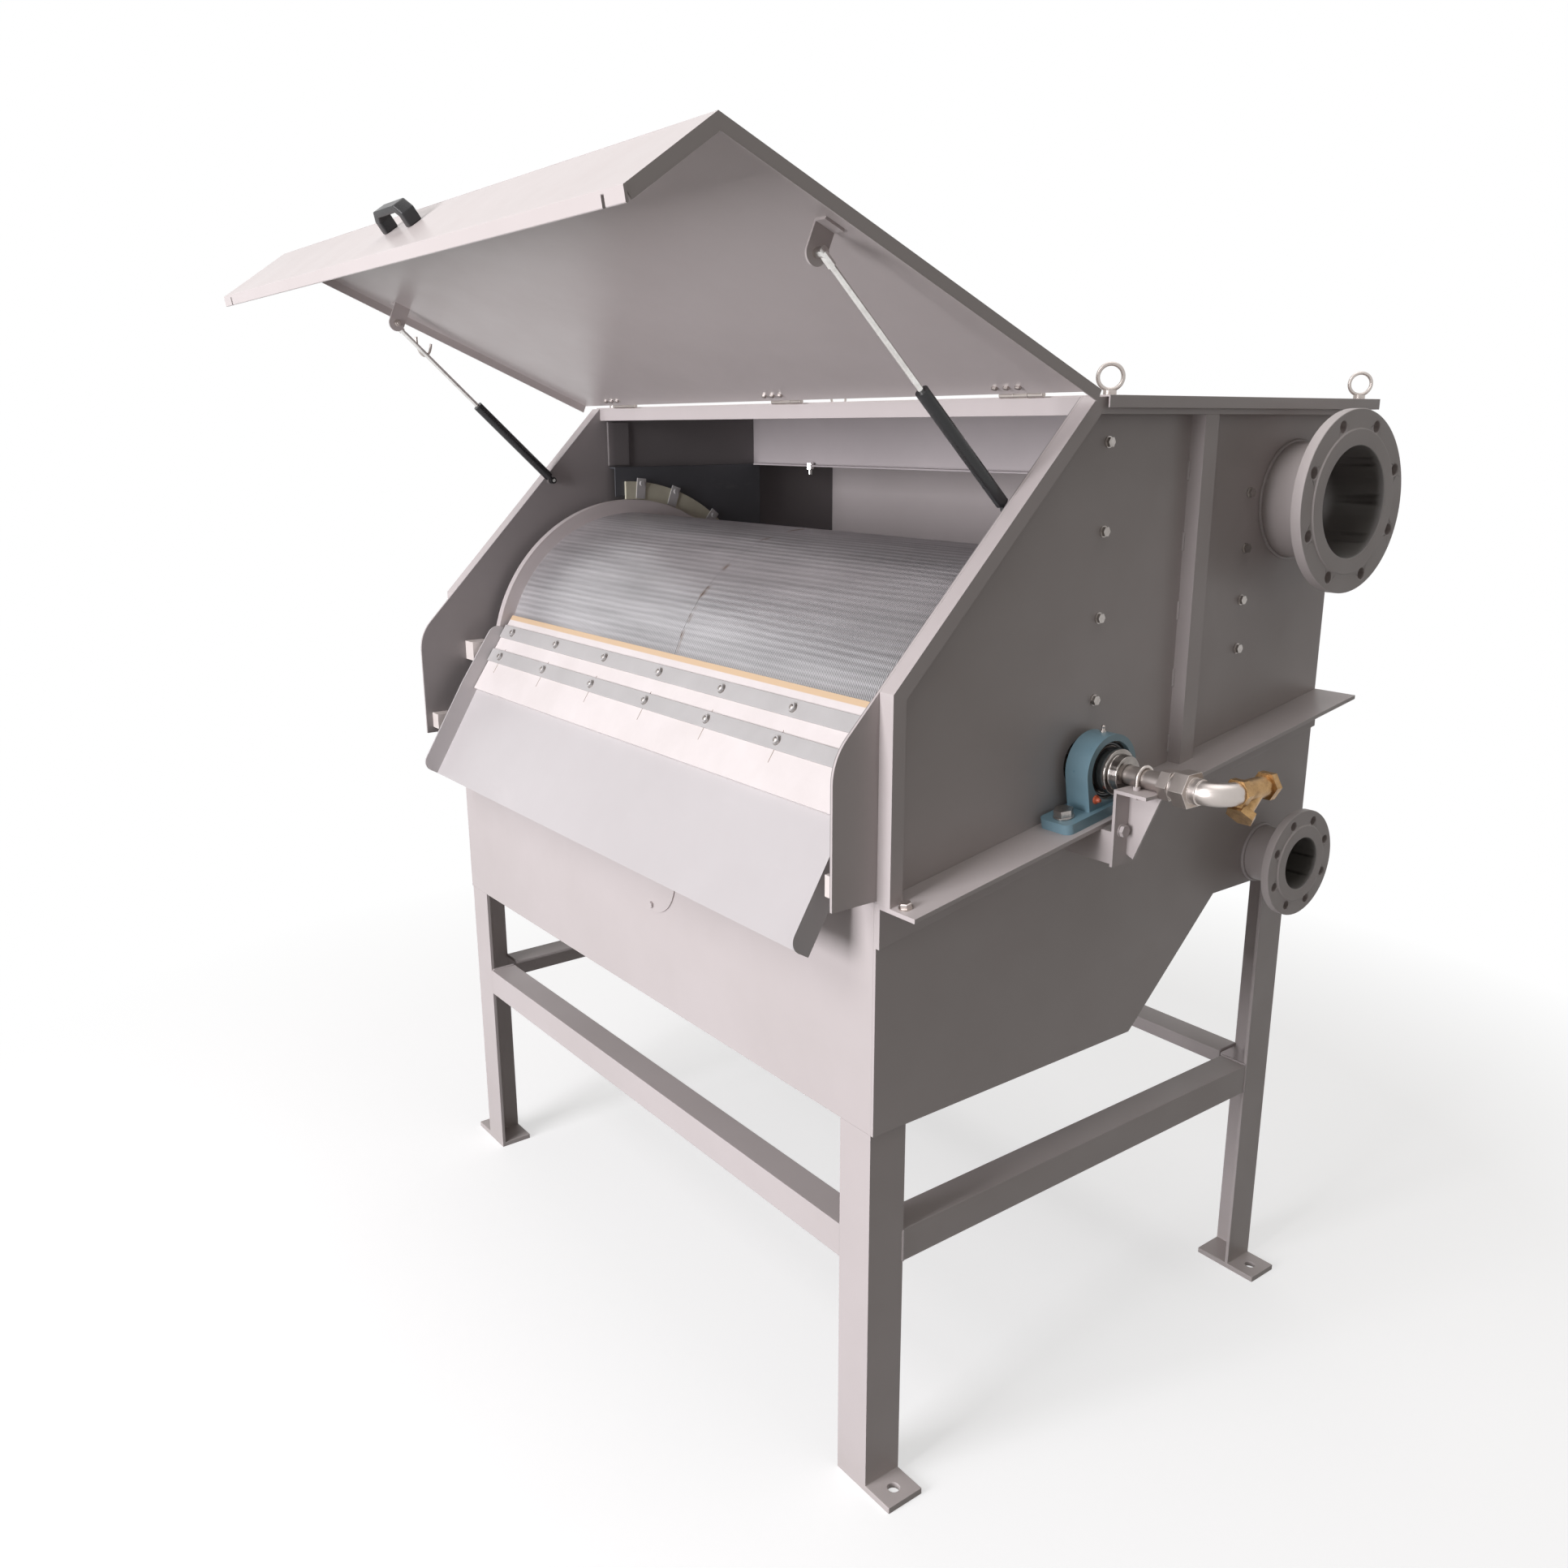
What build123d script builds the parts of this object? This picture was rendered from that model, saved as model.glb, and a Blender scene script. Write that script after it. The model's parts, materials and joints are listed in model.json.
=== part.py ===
from build123d import *
import os
from math import atan2, cos, degrees, hypot, radians, sin, sqrt, tan

os.makedirs("parts", exist_ok=True)

# Rotary drum filter, in millimetres. X runs across the machine, Y from the discharge
# side to the rear, Z up. The origin lies on the floor in the middle of the four legs.

# Stand
leg_span_y = 1176
leg_face_x = 794
leg_flange = 80
leg_sheet = 8
foot_plate = 12
foot_reach = 65
foot_hole = 22
rail_bottom = 450
rail_flange = 65
rail_sheet = 7

# Tank under the drum, heights above the floor and depths behind the front face
front_y = -leg_span_y / 2
tank_sheet = 6
tank_half = leg_face_x + tank_sheet
tank_bottom = 726
tank_flat = 665
shelf_front = 908
shelf_height = 961
casing_depth = 1205
split_front = 1144
split_rise = 205
split_flange = 90
split_leg = 78
split_sheet = 8

# Upper casing
frame_width = 32
frame_sheet = 4
frame_lip = 27
slope_start = 1488
slope_run = 430
casing_top = 1926
cheek_reach = 92
cheek_bottom = 1148
cheek_radius = 100
top_bar_height = 29
top_bar_depth = 40
rear_flange = 40
stiffener_front = 723
stiffener_width = 39
stiffener_depth = 29
joint_strip_front = 449
joint_strip_width = 60
joint_strip_sheet = 6
joint_strip_gap = 4

# Top cover
cover_overhang = 10
cover_front = 448
cover_rear = 1262
cover_sheet = 3
cover_skirt = 17
eye_inset = 20
eye_collar_radius = 11
eye_collar_height = 8
eye_front = 482
eye_rear = 1235
eye_centre_height = 29
eye_ring = 20.5
eye_bar = 3.4

# Drum, its shaft line and its screen
axis_depth = 479
axis_height = 1302
screen_radius = 364
screen_sheet = 6
ring_side_gap = 49
ring_width = 20
ring_radius = 397
ring_bore = 330
bar_count = 18
bar_height = 22
bar_width = 6
spider_sheet = 10
spider_arms = 6
arm_width = 60
hub_radius = 55
hub_length = 60
journal_radius = 25
journal_bore = 19
journal_end = 887
bush_depth = 30
collar_radius = 37
collar_start = 786
collar_length = 14
shaft_opening = 48

# Pillow blocks, seated on the sloped flanges
block_x = 843
block_length = 260
block_width = 70
block_base = 18
block_body_radius = 64
block_body_width = 50
block_bore = 52
block_bolt_pitch = 203
block_bolt = 20
bolt_room = 1
insert_width = 30
insert_lip = 41
insert_reach = 34

# Fluid connections
inlet_depth = 1060
inlet_height = 1740
inlet_face = 927
inlet_bore = 103.5
inlet_pipe = 109.5
inlet_flange = (170, 24, 147.5, 22, 134)
outlet_depth = 1056
outlet_height = 1021
outlet_face = 898
outlet_bore = 53.9
outlet_pipe = 57.15
outlet_flange = (110, 20, 90, 18, 79)
flange_holes = 8
raised_face = 3

# Head box and drum seals
headbox_depth = 915
headbox_sheet = 4
baffle_bottom = 1779
baffle_lip = 25
weir_crest = 1560
weir_floor = 1420
guide_angle = 36
guide_gap = 8
guide_drop = 30
seal_plate_side_gap = 28
seal_plate_front = 452
seal_plate_top = 1781
seal_arc_outer = 443
seal_arc_thick = 7
seal_plate_foot = 60
seal_plate_gap = 8
seal_arc_foot = 70
seal_clamp_size = (3, 52, 26)
seal_clamp_shift = 6
seal_clamp_angles = (84, 70, 52, 34)
running_gap = 0.4

# Hood, its hinges and its lift struts
hinge_rise = 5.5
hinge_pin = 2.5
hinge_knuckle = 5
running_fit = 0.05
hinge_length = 100
hinge_positions = (-665, 0, 665)
hinge_leaf = 26
hinge_leaf_sheet = 2.5
hinge_start = 12
hood_open = 68.8
hood_overhang = 16
hood_slope = 812
hood_front = 167
hood_bend = 58.3
hood_sheet = 3
hood_side_lip = 20
hood_end_lip = 20
hood_end_fold = 63.5
hood_notch = (790, 804)
lug_gap = 3.4
handle_x = -19
handle_length = 122
handle_foot = 18
handle_width = 26
handle_height = 40
handle_grip = 12
handle_along = 98
handle_corner = 16
strut_x = 782
strut_foot = (280, 1752)
strut_head = (-102, 2112)
strut_tube = 11
strut_tube_bore = 9
strut_tube_length = 262
strut_rod = 5
strut_eye = 8
strut_tail = 20
strut_stud = 4
strut_half = 6
lug_sheet = 4
lug_width = 36
lug_foot = 25

# Discharge chute and scraper
chute_side_gap = 51
chute_sheet = 4
chute_lip = (-97, 1058)
chute_flange = 43
chute_round_front = 24
chute_round_top = 30
blade_tip = (127.4, 1429.4)
blade_angle = 56
blade_length = 205
blade_sheet = 10
blade_inset = 6
chute_upper = 168
clamp_rows = (46, 112)
clamp_width = 34
clamp_sheet = 4
clamp_bolts = 7
clamp_bolt_pitch = 226.7
pivot = (46, 1346)
pivot_radius = 8
pivot_block = 46
pad_start = 76
pad_length = 47
pad_sheet = 32
pad_bottom = 1162
pad_height = 37

# Spray line
spray_radius = 16.85
spray_bore = 14
spray_inner_end = -708
spray_outer_end = 980
union_end = 1052
union_flats = 58
elbow_radius = 38
elbow_wall = 3
strainer_length = 92
nozzle_count = 9
nozzle_pitch = 150
nozzle_angle = 50
nozzle_radius = 6
nozzle_height = 14
nozzle_sink = 2
strainer_flats = 44
strainer_hex = 14
branch_angle = 45
branch_length = 46
bracket_x = 912
bracket_sheet = 6
bracket_front = 432
bracket_width = 76
bracket_bottom = 1147
bracket_reach = 67
gusset_reach = 48
bracket_bolt = (452, 1210)
standoff_bottom = 1152
ubolt_bar = 3
ubolt_x = 938
ubolt_leg = 34

# Drive on the left shaft end
gear_inner = -906
gear_width = 104
gear_half = 72
gear_above = 118
gear_below = 74
motor_radius = 68
motor_length = 240
motor_rise = 40
motor_flange = 14
gear_round = 12
stop_half = 20
stop_reach = 32

# Hand hole in the front wall
hatch_x = 110
hatch_height = 1015
hatch_radius = 88
hatch_bolt_circle = 74
hatch_opening = 58
hatch_sheet = 3

# Fasteners
hex_ratio = 1.55
head_ratio = 0.63
hatch_bolt = 8
seal_bolt = 8
side_bolt = 10
clamp_bolt = 10
bracket_bolt_size = 12
nut_height = 16
washer_sheet = 3
side_bolt_front = 501
side_bolt_rear = 915
side_bolts_front = (1413, 1558, 1706, 1854)
side_bolts_rear = (1463, 1557, 1655, 1758)

ring_inner_face = leg_face_x - ring_side_gap
seal_plate_x = leg_face_x - seal_plate_side_gap
chute_half = leg_face_x - chute_side_gap
blade_half = chute_half - blade_inset
frame_half = tank_half + frame_width
cover_half = frame_half + cover_overhang
hood_half = frame_half + hood_overhang
eye_x = frame_half - eye_inset
axis_y = front_y + axis_depth
hinge_y = front_y + slope_run
hinge_z = casing_top + hinge_rise
slope_angle = degrees(atan2(casing_top - slope_start, slope_run))
split_angle = degrees(atan2(split_rise, casing_depth))
shelf_under_axis = split_front + split_rise * axis_depth / casing_depth
block_seat_height = (axis_height - shelf_under_axis) * cos(radians(split_angle))


def split_at(depth):
    """Height of the line where the casing stands on the tank, at a depth behind the front."""
    return split_front + split_rise * depth / casing_depth


def box(x0, x1, y0, y1, z0, z1):
    """Block between two corners."""
    size = (x1 - x0, y1 - y0, z1 - z0)
    return Pos(x0, y0, z0) * Box(*size, align=(Align.MIN, Align.MIN, Align.MIN))


def plate_x(points, x0, x1):
    """Side outline, as depth and height pairs, made into a plate between two X values."""
    outline = [(front_y + depth, height) for depth, height in points]
    face = Plane.YZ.offset(x0) * Polygon(*outline, align=None)
    return extrude(face, x1 - x0, dir=(1, 0, 0))


def offset_line(points, distance):
    """Open line moved sideways to its left by a distance, with mitred corners."""
    moved = []
    for index, (y, z) in enumerate(points):
        before = points[max(index - 1, 0)]
        after = points[min(index + 1, len(points) - 1)]
        first = (y - before[0], z - before[1])
        second = (after[0] - y, after[1] - z)
        first = first if hypot(*first) > 0 else second
        second = second if hypot(*second) > 0 else first
        n1 = (-first[1] / hypot(*first), first[0] / hypot(*first))
        n2 = (-second[1] / hypot(*second), second[0] / hypot(*second))
        scale = distance / (1 + n1[0] * n2[0] + n1[1] * n2[1])
        moved.append((y + (n1[0] + n2[0]) * scale, z + (n1[1] + n2[1]) * scale))
    return moved


def band_x(points, start, end, x0, x1):
    """Folded strip beside a line, between two sideways offsets and two X values."""
    return plate_x(offset_line(points, start) + offset_line(points, end)[::-1], x0, x1)


def bar_x(x0, x1, y, z, radius, bore=0):
    """Round bar or tube along X."""
    bar = Plane.YZ.offset(x0) * Pos(y, z) * Circle(radius)
    if bore:
        bar -= Plane.YZ.offset(x0) * Pos(y, z) * Circle(bore)
    return extrude(bar, x1 - x0, dir=(1, 0, 0))


def bar_between(start, end, radius, bore=0):
    """Round bar or tube from one point to another."""
    line = Vector(*end) - Vector(*start)
    plane = Plane(origin=start, z_dir=line)
    section = Circle(radius) - Circle(bore) if bore else Circle(radius)
    return extrude(plane * section, line.length)


def both_sides(shape):
    """The shape with its mirror image across the middle of the machine."""
    return shape + mirror(shape, about=Plane.YZ)


def hexagon(size):
    """Outline of the head or nut of a bolt of a size."""
    return RegularPolygon(hex_ratio * size / 2, 6, major_radius=False)


def hex_bolt_x(x, y, z, size, washer=2):
    """Bolt head on a washer, standing out along X from a face."""
    head = Plane.YZ.offset(x) * Pos(y, z) * hexagon(size)
    disc = Plane.YZ.offset(x) * Pos(y, z) * Circle(size)
    return extrude(disc, washer, dir=(1, 0, 0)) + extrude(head, washer + head_ratio * size, dir=(1, 0, 0))


def save(name, shape):
    """One STEP file for each piece."""
    shape.label = name
    export_step(shape, f"parts/{name}.step")


def leg(side, end, top):
    """Leg of rolled angle on its foot plate; side and end are -1 or 1."""
    x, y = side * leg_face_x, end * leg_span_y / 2
    xs, ys = sorted((x, x - side * leg_flange)), sorted((y, y - end * leg_flange))
    angle = box(*xs, *sorted((y, y - end * leg_sheet)), foot_plate, top)
    angle += box(*sorted((x, x - side * leg_sheet)), *ys, foot_plate, top)
    foot = box(*sorted((x - side * leg_flange, x + side * foot_reach)), *ys, 0, foot_plate)
    hole = Pos(x + side * foot_reach / 2, sum(ys) / 2, foot_plate / 2) * Cylinder(foot_hole / 2, foot_plate)
    return angle + foot - hole


def rail_along_x(end):
    """Rail between the front or rear legs, its corner at the top outside."""
    x = leg_face_x - leg_flange
    y = end * leg_span_y / 2
    top = rail_bottom + rail_flange
    upright = box(-x, x, *sorted((y, y - end * rail_sheet)), rail_bottom, top)
    return upright + box(-x, x, *sorted((y, y - end * rail_flange)), top - rail_sheet, top)


def rail_along_y():
    """Rail between the legs of the right side."""
    y = leg_span_y / 2 - leg_flange
    top = rail_bottom + rail_flange
    upright = box(leg_face_x - rail_sheet, leg_face_x, -y, y, rail_bottom, top)
    return upright + box(leg_face_x - rail_flange, leg_face_x, -y, y, top - rail_sheet, top)


for side, side_name in ((1, "right"), (-1, "left")):
    save(f"stand_leg_front_{side_name}", leg(side, -1, tank_bottom))
    save(f"stand_leg_rear_{side_name}", leg(side, 1, shelf_height))
save("stand_rail_front", rail_along_x(-1))
save("stand_rail_rear", rail_along_x(1))
save("stand_rail_right", rail_along_y())
save("stand_rail_left", mirror(rail_along_y(), about=Plane.YZ))


def tank_side():
    """Side wall of the tank, open behind the drain nozzle."""
    outline = [(0, tank_bottom), (tank_flat, tank_bottom), (shelf_front, shelf_height)]
    outline += [(casing_depth, shelf_height), (casing_depth, split_at(casing_depth)), (0, split_front)]
    return plate_x(outline, leg_face_x, tank_half)


def tank_floor():
    """Folded floor, slope, shelf and rear wall of the tank."""
    line = [(tank_sheet, tank_bottom), (tank_flat, tank_bottom), (shelf_front, shelf_height)]
    line += [(casing_depth, shelf_height), (casing_depth, split_at(casing_depth))]
    return band_x(line, 0, tank_sheet, -leg_face_x, leg_face_x)


def split_angle_bar():
    """Rolled angle along the top of a tank side, carrying a pillow block."""
    top = [(0, split_front), (casing_depth, split_at(casing_depth))]
    shelf = plate_x(top + [(d, h - split_sheet) for d, h in top[::-1]], tank_half, tank_half + split_flange)
    leg_part = plate_x(top + [(d, h - split_leg) for d, h in top[::-1]], tank_half, tank_half + split_sheet)
    foot_y, foot_z = block_foot()
    slots = []
    for step in (-1, 1):
        reach = step * block_bolt_pitch / 2
        y = foot_y + reach * cos(radians(split_angle))
        z = foot_z + reach * sin(radians(split_angle))
        drill = Cylinder(block_bolt / 2 + bolt_room, 4 * split_sheet)
        slots.append(Pos(block_x, y, z) * Rot(split_angle, 0, 0) * drill)
    return shelf + leg_part - slots[0] - slots[1]


def block_foot():
    """Point of the flange under the shaft line, square to the slope."""
    lean = radians(split_angle)
    y = axis_y + block_seat_height * sin(lean)
    z = axis_height - block_seat_height * cos(lean)
    return y, z


def front_wall():
    """Front wall of the tank with the hand hole."""
    wall = box(-leg_face_x, leg_face_x, front_y, front_y + tank_sheet, tank_bottom, split_front)
    hole = Cylinder(hatch_opening, 4 * tank_sheet)
    return wall - Pos(hatch_x, front_y, hatch_height) * Rot(90, 0, 0) * hole


def hatch():
    """Round cover of the hand hole with its four bolts."""
    place = Pos(hatch_x, front_y, hatch_height) * Rot(90, 0, 0)
    cover = place * Pos(0, 0, hatch_sheet / 2) * Cylinder(hatch_radius, hatch_sheet)
    for angle in range(0, 360, 90):
        spot = place * Rot(0, 0, angle) * Pos(hatch_bolt_circle, 0, hatch_sheet)
        cover += extrude(spot * hexagon(hatch_bolt), head_ratio * hatch_bolt)
    return cover


def flanged_nozzle(y, z, face, pipe, bore, flange):
    """Set-on pipe along X and its raised-face flange; holes straddle the centre line."""
    radius, thick, circle, hole, raised = flange
    ring = bar_x(face - thick, face - raised_face, y, z, radius)
    ring += bar_x(face - raised_face, face, y, z, raised)
    ring -= bar_x(face - thick, face, y, z, bore)
    for index in range(flange_holes):
        angle = radians((index + 0.5) * 360 / flange_holes)
        ring -= bar_x(face - thick, face, y + circle * cos(angle), z + circle * sin(angle), hole / 2)
    return Compound([bar_x(tank_half, face - thick, y, z, pipe, bore), ring])


drain_hole = bar_x(leg_face_x, tank_half, front_y + outlet_depth, outlet_height, outlet_bore)
save("tank_side_right", tank_side() - drain_hole)
save("tank_side_left", mirror(tank_side(), about=Plane.YZ))
save("tank_front_wall", front_wall())
save("tank_floor", tank_floor())
save("tank_flange_right", split_angle_bar())
save("tank_flange_left", mirror(split_angle_bar(), about=Plane.YZ))
save("tank_hand_hole_cover", hatch())
save("outlet_nozzle", flanged_nozzle(front_y + outlet_depth, outlet_height, outlet_face,
                                     outlet_pipe, outlet_bore, outlet_flange))
save("inlet_nozzle", flanged_nozzle(front_y + inlet_depth, inlet_height, inlet_face,
                                    inlet_pipe, inlet_bore, inlet_flange))


def casing_side():
    """Side wall of the casing with its cheek beside the chute and the shaft opening."""
    cheek_corner = slope_start - cheek_reach * tan(radians(slope_angle))
    outline = [(0, split_front), (casing_depth, split_at(casing_depth)), (casing_depth, casing_top)]
    outline += [(slope_run, casing_top), (-cheek_reach, cheek_corner)]
    outline += [(-cheek_reach, cheek_bottom), (0, cheek_bottom)]
    wall = plate_x(outline, leg_face_x, tank_half)
    corner = wall.edges().filter_by(Axis.X).sort_by(Axis.Y)[:2].sort_by(Axis.Z)[-1]
    wall = fillet(corner, cheek_radius)
    wall -= bar_x(leg_face_x, tank_half, axis_y, axis_height, shaft_opening)
    return wall + joint_strip() + stiffener()


def casing_frame():
    """Folded angle round the front, the slope and the top of a casing side."""
    line = [(0, split_front), (0, slope_start), (slope_run, casing_top), (casing_depth, casing_top)]
    frame = band_x(line, -frame_sheet, 0, tank_half, frame_half)
    frame += band_x(line, -frame_lip, 0, frame_half - frame_sheet, frame_half)
    under = [(0, split_front - frame_lip), (frame_lip, split_front - frame_lip)]
    under += [(frame_lip, split_at(frame_lip)), (0, split_front)]
    return frame - plate_x(under, tank_half, frame_half)


def stiffener():
    """Upright folded angle on a casing side, standing on the sloped flange."""
    rear = stiffener_front + stiffener_width
    top = casing_top - frame_lip
    outer = tank_half + stiffener_depth
    web_end = stiffener_front + frame_sheet
    web = [(stiffener_front, split_at(stiffener_front)), (web_end, split_at(web_end))]
    web += [(web_end, top), (stiffener_front, top)]
    face = [(stiffener_front, split_at(stiffener_front)), (rear, split_at(rear)), (rear, top)]
    face += [(stiffener_front, top)]
    return plate_x(web, tank_half, outer) + plate_x(face, outer - frame_sheet, outer)


def rear_wall():
    """Rear wall of the casing with the folded flange under the cover."""
    wall_y = front_y + casing_depth
    wall = box(-leg_face_x, leg_face_x, wall_y - tank_sheet, wall_y, split_at(casing_depth), casing_top)
    flange_y = wall_y + rear_flange
    wall += box(-frame_half, frame_half, wall_y, flange_y, casing_top - frame_sheet, casing_top)
    lip_y = flange_y - frame_sheet
    return wall + box(-frame_half, frame_half, lip_y, flange_y, casing_top - frame_lip, casing_top)


def top_bar():
    """Folded angle across the top of the opening, carrying the hinges."""
    y = front_y + slope_run
    bar = box(-leg_face_x, leg_face_x, y, y + frame_sheet, casing_top - top_bar_height, casing_top)
    return bar + box(-leg_face_x, leg_face_x, y, y + top_bar_depth, casing_top - frame_sheet, casing_top)


def top_cover():
    """Cover plate with side and rear skirts."""
    y0, y1 = front_y + cover_front, front_y + cover_rear
    top = casing_top + cover_sheet
    cover = box(-cover_half, cover_half, y0, y1, casing_top, top)
    cover += both_sides(box(cover_half - cover_sheet, cover_half, y0, y1, casing_top - cover_skirt, top))
    return cover + box(-cover_half, cover_half, y1 - cover_sheet, y1, casing_top - cover_skirt, top)


def lifting_eye(x, y):
    """Lifting eye standing on the cover, turned toward the front corner."""
    base = casing_top + cover_sheet
    collar = Pos(x, y, base + eye_collar_height / 2) * Cylinder(eye_collar_radius, eye_collar_height)
    ring = Pos(x, y, base + eye_centre_height) * Rot(0, 0, -45) * Rot(0, 90, 0) * Torus(eye_ring, eye_bar)
    return collar + ring


def joint_strip():
    """Flat strip welded inside a casing side, above the inner plate of the drum seal."""
    y0 = front_y + joint_strip_front
    top = casing_top - top_bar_height - joint_strip_gap
    x0 = leg_face_x - joint_strip_sheet
    return box(x0, leg_face_x, y0, y0 + joint_strip_width, seal_plate_top + joint_strip_gap, top)


def side_bolts():
    """Two rows of bolt heads on each casing side and the feet bolts of the blocks."""
    rows = [(side_bolt_front, height) for height in side_bolts_front]
    rows += [(side_bolt_rear, height) for height in side_bolts_rear]
    heads = [hex_bolt_x(tank_half, front_y + depth, height, side_bolt) for depth, height in rows]
    return heads + [mirror(head, about=Plane.YZ) for head in heads]


inlet_hole = bar_x(leg_face_x, tank_half, front_y + inlet_depth, inlet_height, inlet_bore)
save("casing_side_right", casing_side() - inlet_hole)
save("casing_side_left", mirror(casing_side(), about=Plane.YZ))
save("casing_frame_right", casing_frame())
save("casing_frame_left", mirror(casing_frame(), about=Plane.YZ))
save("casing_rear_wall", rear_wall())
save("casing_top_bar", top_bar())
save("casing_top_cover", top_cover())
eyes = [lifting_eye(side * eye_x, front_y + depth) for side in (-1, 1) for depth in (eye_front, eye_rear)]
save("casing_lifting_eyes", Compound(eyes))
save("casing_side_bolts", Compound(side_bolts()))


def baffle():
    """Upper wall of the head box with its folded lip."""
    y = front_y + headbox_depth
    top = casing_top
    wall = box(-leg_face_x, leg_face_x, y, y + headbox_sheet, baffle_bottom, top)
    lip_x = seal_plate_x - headbox_sheet
    return wall + box(-lip_x, lip_x, y - baffle_lip, y, baffle_bottom, baffle_bottom + headbox_sheet)


def weir():
    """Floor, weir and guide lip that lead the water onto the drum."""
    rear = casing_depth - tank_sheet
    line = [(rear, weir_floor), (headbox_depth, weir_floor), (headbox_depth, weir_crest)]
    box_part = band_x(line, -headbox_sheet, 0, -leg_face_x, leg_face_x)
    reach = radians(guide_angle)
    radius = screen_radius + headbox_sheet + guide_gap
    tip = (axis_depth + radius * cos(reach), axis_height + radius * sin(reach))
    guide_line = [(headbox_depth, weir_crest - guide_drop), tip]
    guide = band_x(guide_line, 0, headbox_sheet, -blade_half, blade_half)
    return box_part + guide


def seal_plate():
    """Inner plate beside the drum end, cut round the drum ring, with its top flange."""
    y0, y1 = front_y + seal_plate_front, front_y + headbox_depth
    x1 = seal_plate_x + headbox_sheet
    plate = box(seal_plate_x, x1, y0, y1, axis_height + seal_plate_foot, seal_plate_top)
    plate -= bar_x(seal_plate_x, x1, axis_y, axis_height, ring_radius + seal_plate_gap)
    return plate + box(seal_plate_x, leg_face_x, y0, y1, seal_plate_top - headbox_sheet, seal_plate_top)


def seal_arc():
    """Rubber arc on the inner plate, touching the rim of the drum ring."""
    x0, x1 = seal_plate_x - seal_arc_thick, seal_plate_x
    ring = bar_x(x0, x1, axis_y, axis_height, seal_arc_outer, ring_radius + running_gap)
    return ring & box(x0, x1, axis_y, front_y + headbox_depth, axis_height + seal_arc_foot, seal_plate_top)


def seal_clamp(angle):
    """Clamp plate with its bolt, holding the seal arc."""
    sheet, length, _ = seal_clamp_size
    middle = (ring_radius + seal_arc_outer) / 2 + seal_clamp_shift
    place = Pos(seal_plate_x - seal_arc_thick, axis_y, axis_height) * Rot(angle, 0, 0)
    head = head_ratio * seal_bolt
    plate = place * Pos(-sheet / 2, middle, 0) * Box(*seal_clamp_size)
    spot = place * Pos(-sheet - head / 2, middle + length / 4, 0) * Rot(0, 90, 0)
    return plate + spot * Cylinder(hex_ratio * seal_bolt / 2, head)


save("headbox_baffle", baffle())
save("headbox_weir", weir())
save("seal_plate_right", seal_plate())
save("seal_plate_left", mirror(seal_plate(), about=Plane.YZ))
save("seal_arcs", Compound([seal_arc(), mirror(seal_arc(), about=Plane.YZ)]))
clamps = [seal_clamp(angle) for angle in seal_clamp_angles]
save("seal_clamps", Compound(clamps + [mirror(clamp, about=Plane.YZ) for clamp in clamps]))


def turn_open(shape):
    """Hood shape turned from closed to open about the hinge line."""
    return shape.rotate(Axis((0, hinge_y, hinge_z), (1, 0, 0)), -hood_open)


def hood_line():
    """Outer side line of the closed hood: slope, front and folded end."""
    first = radians(180 + slope_angle)
    second = first + radians(hood_bend)
    third = second + radians(hood_end_fold)
    start = (slope_run + hinge_start * cos(first), hinge_z + hinge_start * sin(first))
    bend = (slope_run + hood_slope * cos(first), hinge_z + hood_slope * sin(first))
    end = (bend[0] + hood_front * cos(second), bend[1] + hood_front * sin(second))
    fold = (end[0] + hood_end_lip * cos(third), end[1] + hood_end_lip * sin(third))
    return [start, bend, end, fold]


def hood_lug():
    """Lug under the open hood that meets the head of the right strut, on its foot plate."""
    head_y, head_z = strut_head
    angle = radians(180 + slope_angle - hood_open)
    run, rise = head_y - slope_run, head_z - hinge_z
    distance = run * cos(angle) + rise * sin(angle)
    corners = []
    for along in (distance - lug_width / 2, distance + lug_width / 2):
        corners.append((slope_run + along * cos(angle), hinge_z + along * sin(angle)))
    drop = rise * cos(angle) - run * sin(angle)
    x1 = strut_x - strut_eye - lug_gap
    x0 = x1 - lug_sheet
    plate = band_x(corners, hood_sheet, drop, x0, x1)
    plate += bar_x(x0, x1, front_y + head_y, head_z, lug_width / 2)
    plate += band_x(corners, hood_sheet, hood_sheet + lug_sheet, x0, x0 + lug_foot)
    return plate - bar_x(x0, x1, front_y + head_y, head_z, strut_rod)


def hood():
    """Hood sheet with side lips and end fold, in the open position."""
    line = hood_line()
    sheet = band_x(line, 0, hood_sheet, -hood_half, hood_half)
    lip = band_x(line[:3], 0, hood_side_lip, hood_half - hood_sheet, hood_half)
    notch = band_x(line[2:], -hood_sheet, 2 * hood_sheet, *hood_notch)
    body = turn_open(sheet + both_sides(lip) - both_sides(notch))
    return body + both_sides(hood_lug())


def hood_handle():
    """Bridge handle with chamfered shoulders on the front of the hood, in the open position."""
    _, bend, end, _ = hood_line()
    run, rise = (end[0] - bend[0]) / hood_front, (end[1] - bend[1]) / hood_front
    reach = handle_along - handle_width / 2
    seat = (handle_x, front_y + bend[0] + reach * run, bend[1] + reach * rise)
    half, inner = handle_length / 2, handle_length / 2 - handle_foot
    under = handle_height - handle_grip
    right = [(half - handle_corner, handle_height), (half, handle_height - handle_corner), (half, 0)]
    right += [(inner, 0), (inner, under - handle_corner / 2), (inner - handle_corner / 2, under)]
    left = [(-x, out) for x, out in right[::-1]]
    section = Plane(origin=seat, x_dir=(1, 0, 0), z_dir=(0, run, rise)) * Polygon(*right, *left, align=None)
    return turn_open(extrude(section, handle_width))


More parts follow.
